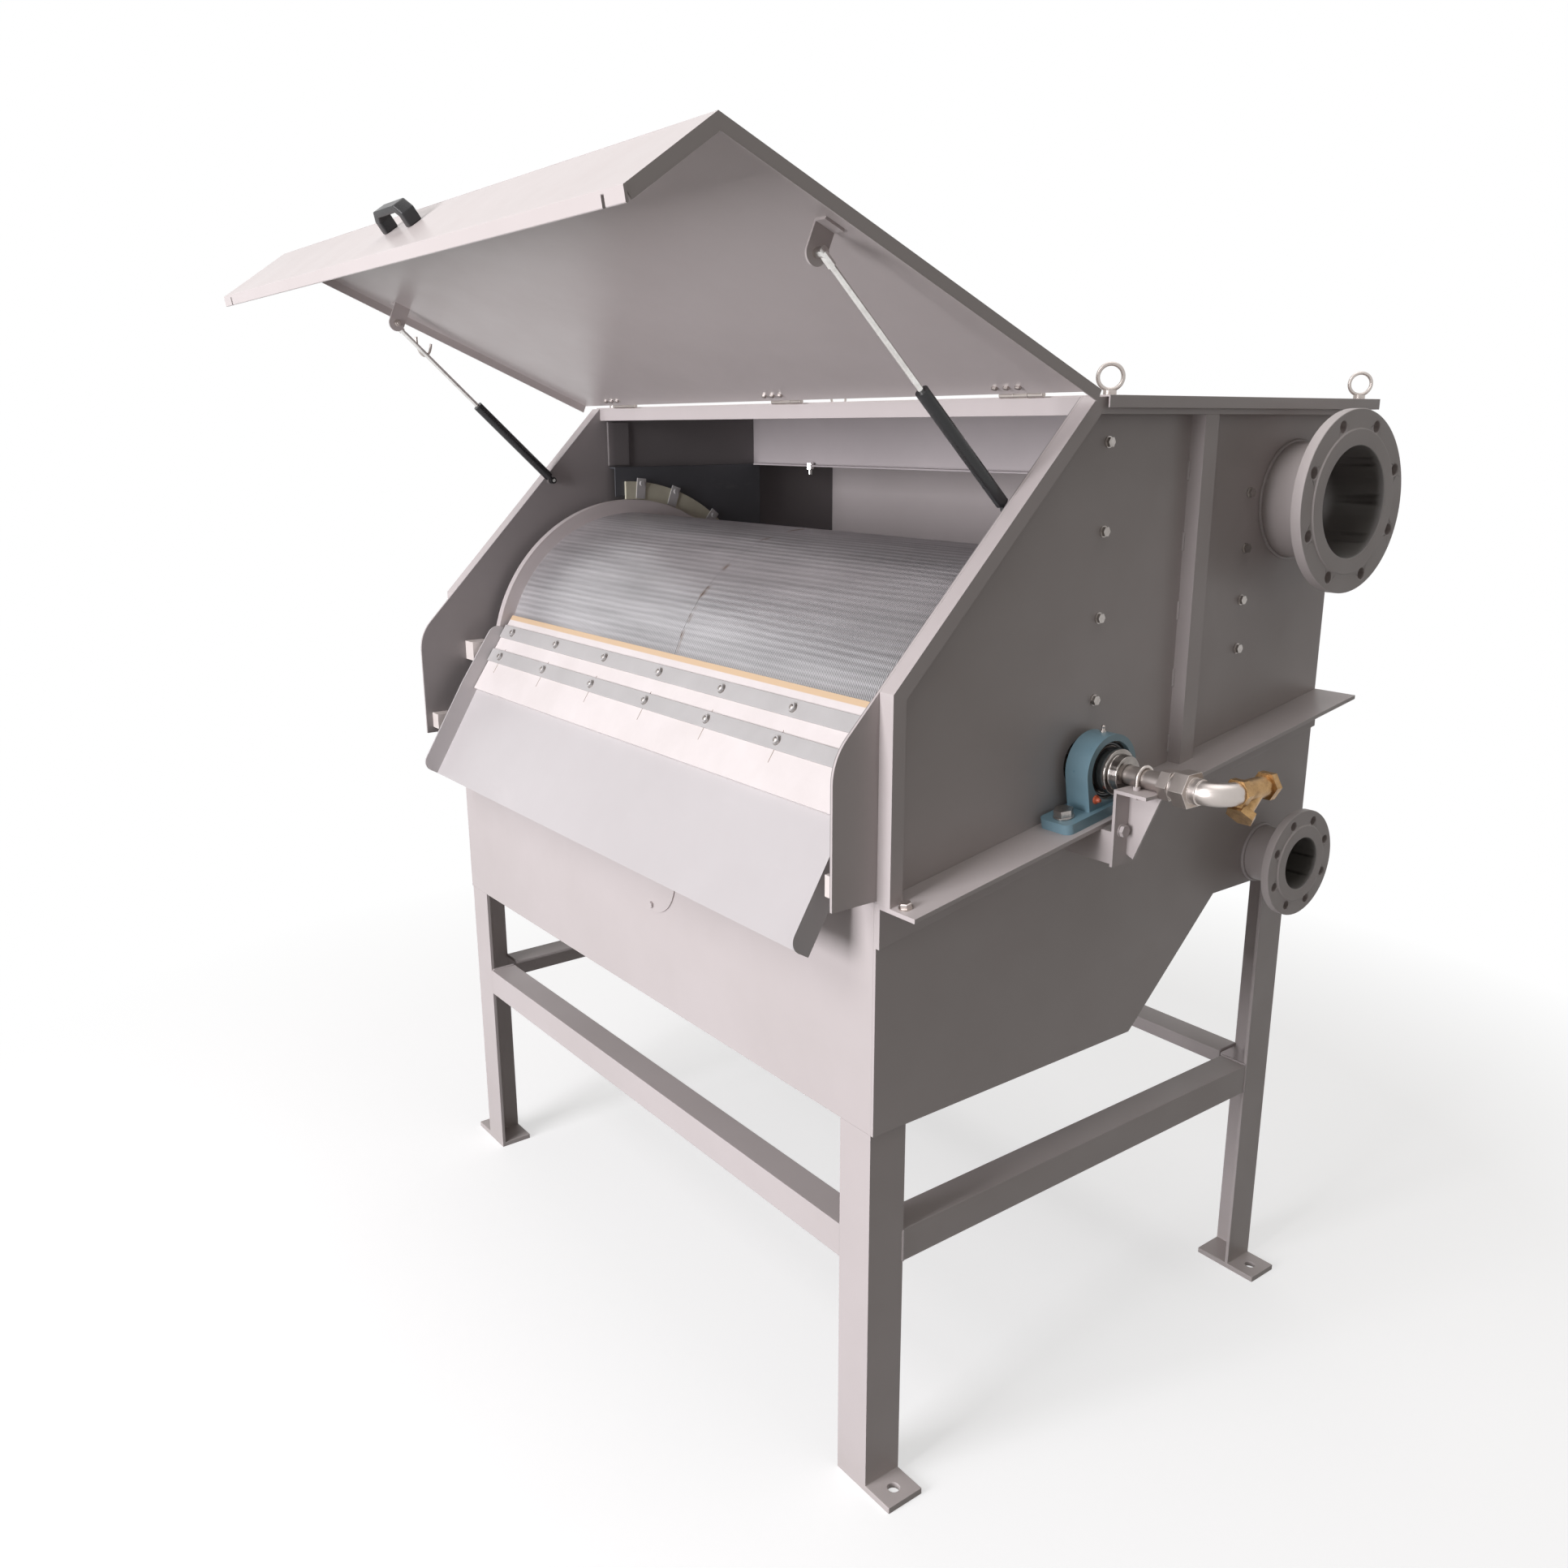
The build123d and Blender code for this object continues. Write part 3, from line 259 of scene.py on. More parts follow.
# Bare metal: fine lines one way, with small tarnish spots
metalLook = {
    "colour": (0.56, 0.54, 0.52),
    "tarnish": (0.40, 0.375, 0.36),
    "metallic": 0.9,
    "rough": (0.22, 0.40),
    "lines": (400, 40, 40),
    "bump": 0.12,
    "spots": 55,
}


def metalMaterial(name, **changes):
    look = {**metalLook, **changes}
    material, tree, shader = newMaterial(name)
    point = objectPoint(tree)
    lines = noise(tree, objectPoint(tree, look["lines"]), 3, 3, 0.6)
    spots = noise(tree, point, look["spots"], 5, 0.65)
    colour = mixColour(tree, ramp(tree, spots, 0.35, 0.68, 0, 1), look["tarnish"], look["colour"])
    tree.links.new(colour, shader.inputs["Base Color"])
    shader.inputs["Metallic"].default_value = look["metallic"]
    tree.links.new(ramp(tree, lines, 0.3, 0.7, *look["rough"]), shader.inputs["Roughness"])
    addBump(tree, shader, lines, look["bump"], 0.0012)
    return material


# Plastic, rubber and thick paint: a softly mottled colour with a fine grain
plasticLook = {
    "colour": (0.74, 0.68, 0.655),
    "mottle": (0.69, 0.625, 0.595),
    "rough": (0.40, 0.56),
    "bump": 0.08,
    "mottleScale": 12,
    "grainScale": 350,
}


def plasticMaterial(name, **changes):
    look = {**plasticLook, **changes}
    material, tree, shader = newMaterial(name)
    point = objectPoint(tree)
    clouds = noise(tree, point, look["mottleScale"], 5, 0.6)
    colour = mixColour(tree, ramp(tree, clouds, 0.32, 0.7, 0, 1), look["mottle"], look["colour"])
    tree.links.new(colour, shader.inputs["Base Color"])
    tree.links.new(ramp(tree, clouds, 0.3, 0.7, *look["rough"]), shader.inputs["Roughness"])
    addBump(tree, shader, noise(tree, point, look["grainScale"], 3), look["bump"], 0.001)
    return material


# Blade: white plastic with a tan band painted along its top edge
bladeLook = {
    "slope": math.radians(56),
    "tip": (-0.4606, 1.4294),
    "edgeBand": 0.0115,
    "edgeSoft": 0.0015,
    "tan": (0.66, 0.48, 0.31),
    "colour": (0.76, 0.705, 0.695),
    "mottle": (0.70, 0.645, 0.63),
    "rough": (0.36, 0.52),
    "grainScale": 260,
    "bump": 0.08,
}


def bladeMaterial(look):
    material, tree, shader = newMaterial("bladePlastic")
    point = objectPoint(tree)
    clouds = noise(tree, point, 9, 5, 0.6)
    colour = mixColour(tree, ramp(tree, clouds, 0.32, 0.7, 0, 1), look["mottle"], look["colour"])
    # Distance down the blade from its tip, along the slope
    tipY, tipZ = look["tip"]
    shifted = objectPoint(tree, shift=(0, -tipY, -tipZ))
    alongY = calculate(tree, "MULTIPLY", axisValue(tree, shifted, "Y"), -math.cos(look["slope"]))
    alongZ = calculate(tree, "MULTIPLY", axisValue(tree, shifted, "Z"), -math.sin(look["slope"]))
    down = calculate(tree, "ADD", alongY, alongZ)
    edge = ramp(tree, down, look["edgeBand"], look["edgeBand"] + look["edgeSoft"], 1, 0)
    tree.links.new(mixColour(tree, edge, colour, look["tan"]), shader.inputs["Base Color"])
    tree.links.new(ramp(tree, clouds, 0.3, 0.7, *look["rough"]), shader.inputs["Roughness"])
    addBump(tree, shader, noise(tree, point, look["grainScale"], 3), look["bump"], 0.001)
    return material


# Drum screen: wires round the drum with painted shade between them, dented in a line at each support rod
screenLook = {
    "wirePitch": 0.0045,
    "wireShare": 0.62,
    "grooveDepth": 0.0011,
    "wallDepth": 0.006,
    "segments": 180,
    "rods": 166,
    "rodDent": 0.16,
    "bright": (0.72, 0.70, 0.72),
    "dull": (0.40, 0.39, 0.40),
    "grooveShade": (0.06, 0.06, 0.062),
    "stain": (0.26, 0.17, 0.12),
    "stainWidth": 0.012,
    "seamWidth": 0.002,
    "metallic": 0.68,
    "rough": 0.32,
    "rodWander": 5.0,
    "wanderScale": (3, 9, 9),
    "streakScale": (2.5, 55, 55),
    "cloudScale": (2.2, 5, 5),
    "blotScale": (30, 20, 20),
}


def screenMaterial(look):
    material, tree, shader = newMaterial("screenWire")
    point = objectPoint(tree, shift=-drumAxis)
    alongY, alongZ = axisValue(tree, point, "Y"), axisValue(tree, point, "Z")
    angle = calculate(tree, "ARCTAN2", alongZ, alongY)
    uneven = noise(tree, objectPoint(tree, look["wanderScale"]), 1.0, 3)
    wander = calculate(tree, "MULTIPLY", uneven, look["rodWander"])
    phase = calculate(tree, "MULTIPLY_ADD", angle, look["rods"], wander)
    rods = calculate(tree, "SINE", phase)
    # Long streaks round the rods, and slow clouds over the whole screen
    streaks = noise(tree, objectPoint(tree, look["streakScale"]), 1.0, 3)
    clouds = noise(tree, objectPoint(tree, look["cloudScale"]), 1.0, 3)
    tone = calculate(tree, "MULTIPLY_ADD", rods, 0.07, calculate(tree, "MULTIPLY", streaks, 0.6))
    tone = calculate(tree, "MULTIPLY_ADD", clouds, 0.5, tone)
    colour = mixColour(tree, ramp(tree, tone, 0.32, 0.80, 0, 1), look["dull"], look["bright"])
    # Brown marks beside the seam in the middle of the drum
    offSeam = calculate(tree, "ABSOLUTE", axisValue(tree, point, "X"))
    nearSeam = ramp(tree, offSeam, look["seamWidth"], look["stainWidth"], 1, 0)
    blots = ramp(tree, noise(tree, objectPoint(tree, look["blotScale"]), 1.0, 3), 0.52, 0.66, 0, 0.9)
    colour = mixColour(tree, calculate(tree, "MULTIPLY", nearSeam, blots), colour, look["stain"])
    # Painted shade below the wires' faces, in the grooves between them
    squareY, squareZ = calculate(tree, "POWER", alongY, 2.0), calculate(tree, "POWER", alongZ, 2.0)
    radius = calculate(tree, "SQRT", calculate(tree, "ADD", squareY, squareZ))
    depth = calculate(tree, "SUBTRACT", screenRadius, radius)
    groove = ramp(tree, depth, 0.0002, look["grooveDepth"] * 0.7, 0, 1)
    tree.links.new(mixColour(tree, groove, colour, look["grooveShade"]), shader.inputs["Base Color"])
    shader.inputs["Metallic"].default_value = look["metallic"]
    shader.inputs["Roughness"].default_value = look["rough"]
    addBump(tree, shader, rods, look["rodDent"], look["grooveDepth"])
    return material


# Every finish by the name that the pieces ask for
materials = {
    "sheet": sheetMaterial("greySheet"),
    "stand": sheetMaterial("greyStand", roughLow=0.40, roughHigh=0.54, peel=0.08),
    "hood": sheetMaterial("hoodSheet", colour=(0.585, 0.53, 0.52), cloud=(0.545, 0.492, 0.48), roughLow=0.30,
                          roughHigh=0.40, specular=0.4, peel=0.02, rubbedShare=0.04),
    "chute": sheetMaterial("chuteSheet", colour=(0.555, 0.527, 0.529), cloud=(0.515, 0.486, 0.487),
                           roughLow=0.32, roughHigh=0.46, rubbedShare=0.30),
    "inner": sheetMaterial("innerSheet", colour=(0.50, 0.455, 0.46), cloud=(0.44, 0.40, 0.405)),
    # Seal plates: near-black, a painted shade of the dark inside of the casing
    "sealPlate": sheetMaterial("sealPlateShadeSheet", colour=(0.085, 0.088, 0.098), cloud=(0.065, 0.067, 0.074)),
    "casing": casingMaterial(casingShadeLook),
    "inlet": nozzleMaterial("inletPaint", "inlet_nozzle", nozzleLook),
    "outlet": nozzleMaterial("outletPaint", "outlet_nozzle", nozzleLook),
    "weld": sheetMaterial("paintedWeld", colour=(0.54, 0.49, 0.485), cloud=(0.46, 0.415, 0.41)),
    "strip": plasticMaterial("stripPaint", colour=(0.49, 0.475, 0.47), mottle=(0.445, 0.43, 0.425)),
    "steel": metalMaterial("pipeSteel", colour=(0.56, 0.51, 0.48), tarnish=(0.49, 0.44, 0.41), metallic=0.95,
                           rough=(0.31, 0.38), lines=(9, 9, 9), bump=0.0, spots=9),
    # Journal sleeve: steel and tarnish colours lowered, a painted dark reflection
    "journal": metalMaterial("journalSteelPaintedReflection", colour=(0.36, 0.33, 0.31), tarnish=(0.21, 0.19, 0.175),
                             metallic=0.95, rough=(0.13, 0.22), lines=(12, 12, 12), bump=0.0, spots=16),
    "bolt": metalMaterial("boltSteel", colour=(0.46, 0.43, 0.41), tarnish=(0.33, 0.30, 0.28),
                          rough=(0.25, 0.38)),
    "chrome": metalMaterial("rodChrome", colour=(0.80, 0.79, 0.77), tarnish=(0.62, 0.60, 0.58), metallic=1.0,
                            rough=(0.08, 0.2)),
    "blue": plasticMaterial("bluePaint", colour=(0.22, 0.355, 0.425), mottle=(0.19, 0.32, 0.385),
                            rough=(0.26, 0.40), mottleScale=20),
    # Bearing insert: steel and tarnish colours lowered, a painted dark reflection
    "bearing": metalMaterial("bearingSteelPaintedReflection", colour=(0.27, 0.24, 0.22), tarnish=(0.12, 0.10, 0.09),
                             rough=(0.14, 0.26), lines=(12, 12, 12), bump=0.0, spots=18),
    "black": plasticMaterial("blackPlastic", colour=(0.018, 0.018, 0.02), mottle=(0.011, 0.011, 0.012),
                             rough=(0.22, 0.36)),
    "cream": plasticMaterial("creamPlastic"),
    "blade": bladeMaterial(bladeLook),
    "rubber": plasticMaterial("creamRubber", colour=(0.58, 0.56, 0.44), mottle=(0.48, 0.45, 0.35),
                              rough=(0.5, 0.7)),
    "brass": metalMaterial("brass", colour=(0.50, 0.31, 0.14), tarnish=(0.28, 0.165, 0.07),
                           rough=(0.26, 0.42)),
    "motor": plasticMaterial("motorPaint", colour=(0.10, 0.16, 0.22), mottle=(0.075, 0.12, 0.17),
                             rough=(0.3, 0.5)),
    "screen": screenMaterial(screenLook),
    "bars": metalMaterial("barSteel", colour=(0.42, 0.41, 0.41), tarnish=(0.30, 0.29, 0.29)),
    # Near-black painted shade for the collar's groove and set-screw holes
    "hole": plasticMaterial("holeShade", colour=(0.012, 0.012, 0.013), mottle=(0.008, 0.008, 0.009)),
    "slot": plasticMaterial("slotShadow", colour=(0.34, 0.25, 0.20), mottle=(0.26, 0.19, 0.15)),
    "orange": plasticMaterial("orangePlug", colour=(0.62, 0.13, 0.055), mottle=(0.48, 0.09, 0.04),
                              rough=(0.25, 0.4)),
}

# Finish of the CAD pieces by material slot, and of single pieces where the slot isn't enough
slotMaterial = {
    "stand": "stand", "tank": "sheet", "casing": "sheet", "cover": "sheet",
    "lifting_eye": "steel", "fastener": "bolt", "headbox": "inner", "seal_plate": "sealPlate",
    "seal_rubber": "rubber", "clamp": "strip", "hood": "hood", "handle": "black", "hinge": "steel",
    "strut_tube": "black", "strut_rod": "chrome", "screen": "bars", "drum_end": "sheet",
    "journal": "journal", "bearing_housing": "blue", "bearing_insert": "bearing", "chute": "chute",
    "blade": "blade", "pivot_block": "cream", "spray_pipe": "steel", "spray_fitting": "steel",
    "strainer": "brass", "bracket": "sheet", "gearmotor": "motor",
}

nodeMaterial = {
    "inlet_nozzle": "inlet", "outlet_nozzle": "outlet",
    "casing_side_left": "casing", "casing_side_right": "casing",
}

for row in frame["record"]["subparts"]:
    shown = nodes[row["node"]]
    paint = nodeMaterial.get(row["node"]) or slotMaterial[row["material_slot"]]
    shown.data.materials.clear()
    shown.data.materials.append(materials[paint])
print("stage: CAD pieces painted")

# Softened edges on the CAD pieces, by material slot, in metres
edgeLook = {
    "widths": {"stand": 0.0016, "hood": 0.0012, "nozzle": 0.0018, "bearing_housing": 0.004, "handle": 0.0025},
    "plainWidth": 0.0007,
    "angle": math.radians(35),
    "segments": 2,
    "weldDistance": 0.00002,
    "flatWeight": 80,
}

for row in frame["record"]["subparts"]:
    shown = nodes[row["node"]]
    weld = shown.modifiers.new("weld", "WELD")
    weld.merge_threshold = edgeLook["weldDistance"]
    bevel = shown.modifiers.new("edges", "BEVEL")
    bevel.width = edgeLook["widths"].get(row["material_slot"], edgeLook["plainWidth"])
    bevel.segments = edgeLook["segments"]
    bevel.limit_method = "ANGLE"
    bevel.angle_limit = edgeLook["angle"]
    bevel.harden_normals = True
    flat = shown.modifiers.new("flatFaces", "WEIGHTED_NORMAL")
    flat.mode = "FACE_AREA"
    flat.weight = edgeLook["flatWeight"]
    shown.data.shade_smooth()
print("stage: edges softened")


def gridFaces(rows, columns, wrapRows, wrapColumns):
    # Corner numbers of the quads between neighbouring points of a grid
    row = np.arange(rows if wrapRows else rows - 1)[:, None]
    column = np.arange(columns if wrapColumns else columns - 1)[None, :]
    nextRow, nextColumn = (row + 1) % rows, (column + 1) % columns
    corners = (row * columns + column, nextRow * columns + column,
               nextRow * columns + nextColumn, row * columns + nextColumn)
    return np.stack(np.broadcast_arrays(*corners), axis=-1).reshape(-1, 4)


def surfacePiece(name, grids, paint, body, wrapRows=False, wrapColumns=True, creaseAngle=40):
    # One piece from grids of points, each (rows, columns, 3); doubles are merged, which closes the poles
    points, quads, start = [], [], 0
    for grid in grids:
        rows, columns = grid.shape[:2]
        quads.append(gridFaces(rows, columns, wrapRows, wrapColumns) + start)
        points.append(grid.reshape(-1, 3))
        start += rows * columns
    mesh = bpy.data.meshes.new(name)
    mesh.from_pydata(np.concatenate(points).tolist(), [], np.concatenate(quads).tolist())
    work = bmesh.new()
    work.from_mesh(mesh)
    bmesh.ops.remove_doubles(work, verts=work.verts, dist=0.000001)
    bmesh.ops.recalc_face_normals(work, faces=work.faces)
    work.to_mesh(mesh)
    work.free()
    mesh.materials.append(materials[paint])
    mesh.shade_smooth()
    mesh.set_sharp_from_angle(angle=math.radians(creaseAngle))
    piece = bpy.data.objects.new(name, mesh)
    scene.collection.objects.link(piece)
    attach(piece, body)
    return piece


def crossFrame(direction):
    # Unit vector along a direction with two more square to it
    along = np.asarray(direction, float)
    along = along / np.linalg.norm(along)
    helper = np.array((0.0, 0.0, 1.0)) if abs(along[2]) < 0.9 else np.array((1.0, 0.0, 0.0))
    side = np.cross(helper, along)
    side = side / np.linalg.norm(side)
    return along, side, np.cross(along, side)


def turned(profile, origin, direction, segments=32):
    # Lathe shape from (distance, radius) pairs:
    # origin + distance * direction + radius * (cos angle * side + sin angle * up)
    profile = np.asarray(profile, float)
    along, side, up = crossFrame(direction)
    angle = np.linspace(0, 2 * math.pi, segments, endpoint=False)
    spokes = np.cos(angle)[:, None] * side + np.sin(angle)[:, None] * up
    spine = np.asarray(origin, float) + profile[:, 0, None] * along
    return spine[:, None, :] + profile[:, 1, None, None] * spokes[None]


def hexagonHead(height, flats, origin, direction):
    # Bolt head: a six-sided lathe shape with a chamfered top
    corner = flats / math.sqrt(3)
    profile = [(0, 0), (0, corner), (height * 0.85, corner), (height, corner * 0.86), (height, 0)]
    return turned(profile, origin, direction, segments=6)


def beadLine(start, end, radius, ripple=0.004, segments=10):
    # Weld bead: radius * (0.88 + 0.12 * |sin|) along a straight line, closed to points at its ends
    start, end = np.asarray(start, float), np.asarray(end, float)
    length = float(np.linalg.norm(end - start))
    steps = max(int(length / ripple) * 4, 8)
    distance = np.linspace(0, length, steps + 1)
    swell = 0.88 + 0.12 * np.abs(np.sin(math.pi * distance / ripple))
    closing = np.sqrt(np.clip(1 - (2 * distance / length - 1) ** 16, 0, 1))
    return turned(np.stack([distance, radius * swell * closing], axis=1), start, end - start, segments)


def beadRing(centre, direction, ringRadius, radius, ripples, segments=10):
    # Weld bead on a circle: a torus whose tube swells with 0.88 + 0.12 * |sin| round the ring
    along, side, up = crossFrame(direction)
    turn = np.linspace(0, 2 * math.pi, ripples * 4, endpoint=False)
    angle = np.linspace(0, 2 * math.pi, segments, endpoint=False)
    spokes = np.cos(turn)[:, None] * side + np.sin(turn)[:, None] * up
    swell = radius * (0.88 + 0.12 * np.abs(np.sin(turn * ripples / 2)))
    out = ringRadius + swell[:, None] * np.cos(angle)[None]
    lift = swell[:, None] * np.sin(angle)[None]
    return np.asarray(centre, float) + out[..., None] * spokes[:, None] + lift[..., None] * along


def tubeAlong(path, radius, segments=12):
    # Round bar along a path in one plane: each ring lies square to the path's own direction
    path = np.asarray(path, float)
    along = np.gradient(path, axis=0)
    along = along / np.linalg.norm(along, axis=1, keepdims=True)
    flat = np.cross(path[-1] - path[0], path[len(path) // 2] - path[0])
    flat = flat / np.linalg.norm(flat)
    side = np.cross(along, flat)
    angle = np.linspace(0, 2 * math.pi, segments, endpoint=False)
    rings = np.cos(angle)[None, :, None] * side[:, None] + np.sin(angle)[None, :, None] * flat
    spine = np.concatenate([path[:1], path, path[-1:]])
    rings = np.concatenate([rings[:1], rings, rings[-1:]])
    radii = np.concatenate([[0], np.full(len(path), radius), [0]])
    return spine[:, None] + radii[:, None, None] * rings


def bothSides(grids):
    # The grids with their mirror images across the middle of the machine
    return grids + [grid * (-1, 1, 1) for grid in grids]


def screenSection(low, high, look):
    # Profile of wires and grooves from low to high, closed by the inner wall, turned round the drum axis
    count = round((high - low) / look["wirePitch"])
    pitch = (high - low) / count
    share = look["wireShare"]
    # Each wire gives the two ends of its flat face and the bottom of the groove after it
    offsets = np.array([0, share, (1 + share) / 2]) * pitch
    distance = (low + np.arange(count)[:, None] * pitch + offsets).ravel()
    radius = np.tile([screenRadius, screenRadius, screenRadius - look["grooveDepth"]], count)
    inner = screenRadius - look["wallDepth"]
    closing = np.array([(high, screenRadius), (high, inner), (low, inner)])
    profile = np.concatenate([np.stack([distance, radius], axis=1), closing])
    origin = (0, drumAxis.y, drumAxis.z)
    return turned(profile, origin, (1, 0, 0), look["segments"])


seamHalf = 0.0004
for side, (low, high) in {"left": (-screenHalf, -seamHalf), "right": (seamHalf, screenHalf)}.items():
    section = surfacePiece(f"screen_wires_{side}", [screenSection(low, high, screenLook)], "screen", "drum",
                           wrapRows=True, creaseAngle=25)
    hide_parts("drum_screen")
print("stage: screen wires")

# Bearing fittings, the same on both sides; the nipple and the plug are (distance, radius) profiles
bearingLook = {
    "sealInner": 0.0415, "sealOuter": 0.0505, "sealFace": 0.8588, "sealEdge": 0.0008, "sealCrown": 0.0006,
    "collarStart": 0.8765, "lockStart": 0.8850, "lockEnd": 0.9030, "collarRadius": 0.0411,
    "lockRadius": 0.0320, "pipeGap": 0.0178, "soft": 0.0022,
    "groovePlace": 0.8630, "grooveHalf": 0.0009, "grooveLift": 0.00015,
    "screwRadius": 0.0042, "screwPlace": 0.8705, "screwAngles": (105, 225),
    "nippleReach": 0.035, "nippleBase": 1.3650,
    "nipple": ((0, 0), (0, 0.0052), (0.0045, 0.0052), (0.0050, 0.0032), (0.0085, 0.0027), (0.0100, 0.0036),
               (0.0118, 0.0034), (0.0130, 0.0020), (0.0130, 0)),
    "plugPlace": (0.8672, -0.1480, 1.2560),
    "plug": ((-0.003, 0), (-0.003, 0.0085), (0.0030, 0.0080), (0.0050, 0.0046), (0.0095, 0.0040),
             (0.0110, 0.0028), (0.0110, 0)),
}


def bearingDetails(look):
    centre = np.array((0.0, drumAxis.y, drumAxis.z))
    outward = (1, 0, 0)
    # Seal: a flat ring with soft edges and a low crown
    inner, outer, face = look["sealInner"], look["sealOuter"], look["sealFace"]
    middle, edge, crown = (inner + outer) / 2, look["sealEdge"], look["sealCrown"]
    seal = [(face - 0.002, inner), (face - edge, inner + edge), (face + crown, middle - 0.001),
            (face + crown, middle + 0.001), (face - edge, outer - edge), (face - 0.002, outer)]
    seal = bothSides([turned(seal, centre, outward, 64)])
    surfacePiece("bearing_seals", seal, "black", "machine", wrapRows=True)
    # Collar and lock ring, two rounded steps on the shaft
    first, second, end = look["collarStart"], look["lockStart"], look["lockEnd"]
    collar, lock, bore, soft = look["collarRadius"], look["lockRadius"], look["pipeGap"], look["soft"]
    steps = [(first, bore), (first, collar), (second - soft, collar), (second - soft / 3, collar - soft / 3),
             (second, collar - soft), (second, lock + 0.001), (second + 0.002, lock), (end - soft, lock),
             (end - soft / 3, lock - soft / 3), (end, lock - soft), (end, bore)]
    steps = bothSides([turned(steps, centre, outward, 72)])
    surfacePiece("bearing_lock_rings", steps, "journal", "drum", wrapRows=True,
                 creaseAngle=50)
    # Painted shade of a groove: a thin dark band that stands just proud of the collar's radius
    place, half, lift = look["groovePlace"], look["grooveHalf"], look["grooveLift"]
    band = [(place - half, collar - 0.001), (place - half + 0.0002, collar + lift),
            (place + half - 0.0002, collar + lift), (place + half, collar - 0.001)]
    bands = bothSides([turned(band, centre, outward, 64)])
    surfacePiece("collar_grooves", bands, "hole", "drum", wrapRows=True)
    # Set-screw holes: flat dark discs of painted shade on the collar
    size = look["screwRadius"]
    hole = [(-0.002, 0), (-0.002, size), (0.0002, size), (0.0002, 0)]
    holes = []
    for degrees in look["screwAngles"]:
        turn = math.radians(degrees)
        spoke = np.array((0.0, math.cos(turn), math.sin(turn)))
        rim = centre + (look["screwPlace"], 0, 0) + spoke * collar
        holes.append(turned(hole, rim, spoke, 20))
    surfacePiece("collar_set_screws", bothSides(holes), "hole", "drum")
    base = (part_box("bearing_housing_right")[0][0] + look["nippleReach"], drumAxis.y, look["nippleBase"])
    nipple = turned(look["nipple"], base, (0, 0, 1), 16)
    surfacePiece("grease_nipples", bothSides([nipple]), "steel", "machine")
    plug = turned(look["plug"], look["plugPlace"], outward, 14)
    surfacePiece("vent_plugs", bothSides([plug]), "orange", "machine")


bearingDetails(bearingLook)
print("stage: bearing fittings")

# Small fasteners: nuts of the hinges and struts, and the corner bolts of the split flange
fastenerLook = {
    "hingeCentres": (-0.665, 0.0, 0.665), "hingePitch": 0.027, "hingeReach": 0.040,
    "hingeNut": (0.0052, 0.0100),
    "strutHead": (0.7666, -0.690, 2.112), "strutNut": (0.0068, 0.0130), "spacer": (0.0036, 0.0076, 0.0072),
    "studEnd": 0.0030, "studRadius": 0.0039, "studTip": (0.0008, 0.0030),
    "flangeBase": 1.144, "flangeRise": 0.205,
    "cornerPlace": (0.850, -0.570), "cornerBolt": (0.0078, 0.0180), "cornerWasher": (0.0025, 0.0120),
}


def fastenerDetails(look):
    # Hinge nuts stand in rows of three on the open hood's underside
    along = math.radians(hoodAngle)
    reach = np.array((0.0, math.cos(along), math.sin(along)))
    inward = np.array((0.0, -math.sin(along), math.cos(along)))
    hinge = np.array((0.0, *hoodHinge))
    nuts = []
    for centre in look["hingeCentres"]:
        for step in (-1, 0, 1):
            across = (centre + step * look["hingePitch"], 0, 0)
            spot = hinge + across + reach * look["hingeReach"] + inward * hoodSheet
            nuts.append(hexagonHead(*look["hingeNut"], spot, inward))
    surfacePiece("hinge_nuts", nuts, "steel", "hood", creaseAngle=25)
    # Strut head: nut and stud on the lug's inner face, spacer on its outer face
    spot, height = look["strutHead"], look["strutNut"][0]
    nut = hexagonHead(*look["strutNut"], spot, (-1, 0, 0))
    surfacePiece("strut_head_nuts", bothSides([nut]), "steel", "hood", creaseAngle=25)
    tip, radius = height + look["studEnd"], look["studRadius"]
    chamfer, tipRadius = look["studTip"]
    stud = [(height, 0), (height, radius), (tip - chamfer, radius), (tip, tipRadius), (tip, 0)]
    stud = turned(stud, spot, (-1, 0, 0), 16)
    surfacePiece("strut_stud_ends", bothSides([stud]), "steel", "hood")
    start, end, radius = look["spacer"]
    spacer = turned([(start, 0), (start, radius), (end, radius), (end, 0)], spot, (1, 0, 0), 24)
    surfacePiece("strut_head_washers", bothSides([spacer]), "steel", "hood")
    # Corner bolts stand square to the sloped flange
    low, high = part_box("tank_flange_right")
    slope = math.atan2(look["flangeRise"], high.y - low.y)
    upright = np.array((0.0, -math.sin(slope), math.cos(slope)))
    x, y = look["cornerPlace"]
    place = np.array((x, y, look["flangeBase"] + (y - low.y) * math.tan(slope)))
    sheet, radius = look["cornerWasher"]
    washer = turned([(0, 0), (0, radius), (sheet, radius), (sheet, 0)], place, upright, 32)
    surfacePiece("corner_washers", bothSides([washer]), "steel", "machine")
    bolt = hexagonHead(*look["cornerBolt"], place + upright * sheet, upright)
    surfacePiece("corner_bolts", bothSides([bolt]), "steel", "machine", creaseAngle=25)


fastenerDetails(fastenerLook)
print("stage: fasteners")

# Domed bolts with washers on the clamp strips, over the plain heads
capLook = {
    "rows": (0.046, 0.112), "pitch": 0.2267, "count": 7, "strip": 0.004,
    "washer": 0.0100, "washerSheet": 0.0016, "washerSoft": 0.0004, "domeHeight": 0.0062, "domeRadius": 0.0080,
}


def bladePlaces(look):
    # Points across the blade's tip, evenly spaced about the middle, and the way down the blade
    tipY, tipZ = bladeLook["tip"]
    across = (np.arange(look["count"]) - (look["count"] - 1) / 2) * look["pitch"]
    places = [np.array((x, tipY, tipZ)) for x in across]
    return places, np.array((0.0, -math.cos(bladeLook["slope"]), -math.sin(bladeLook["slope"])))


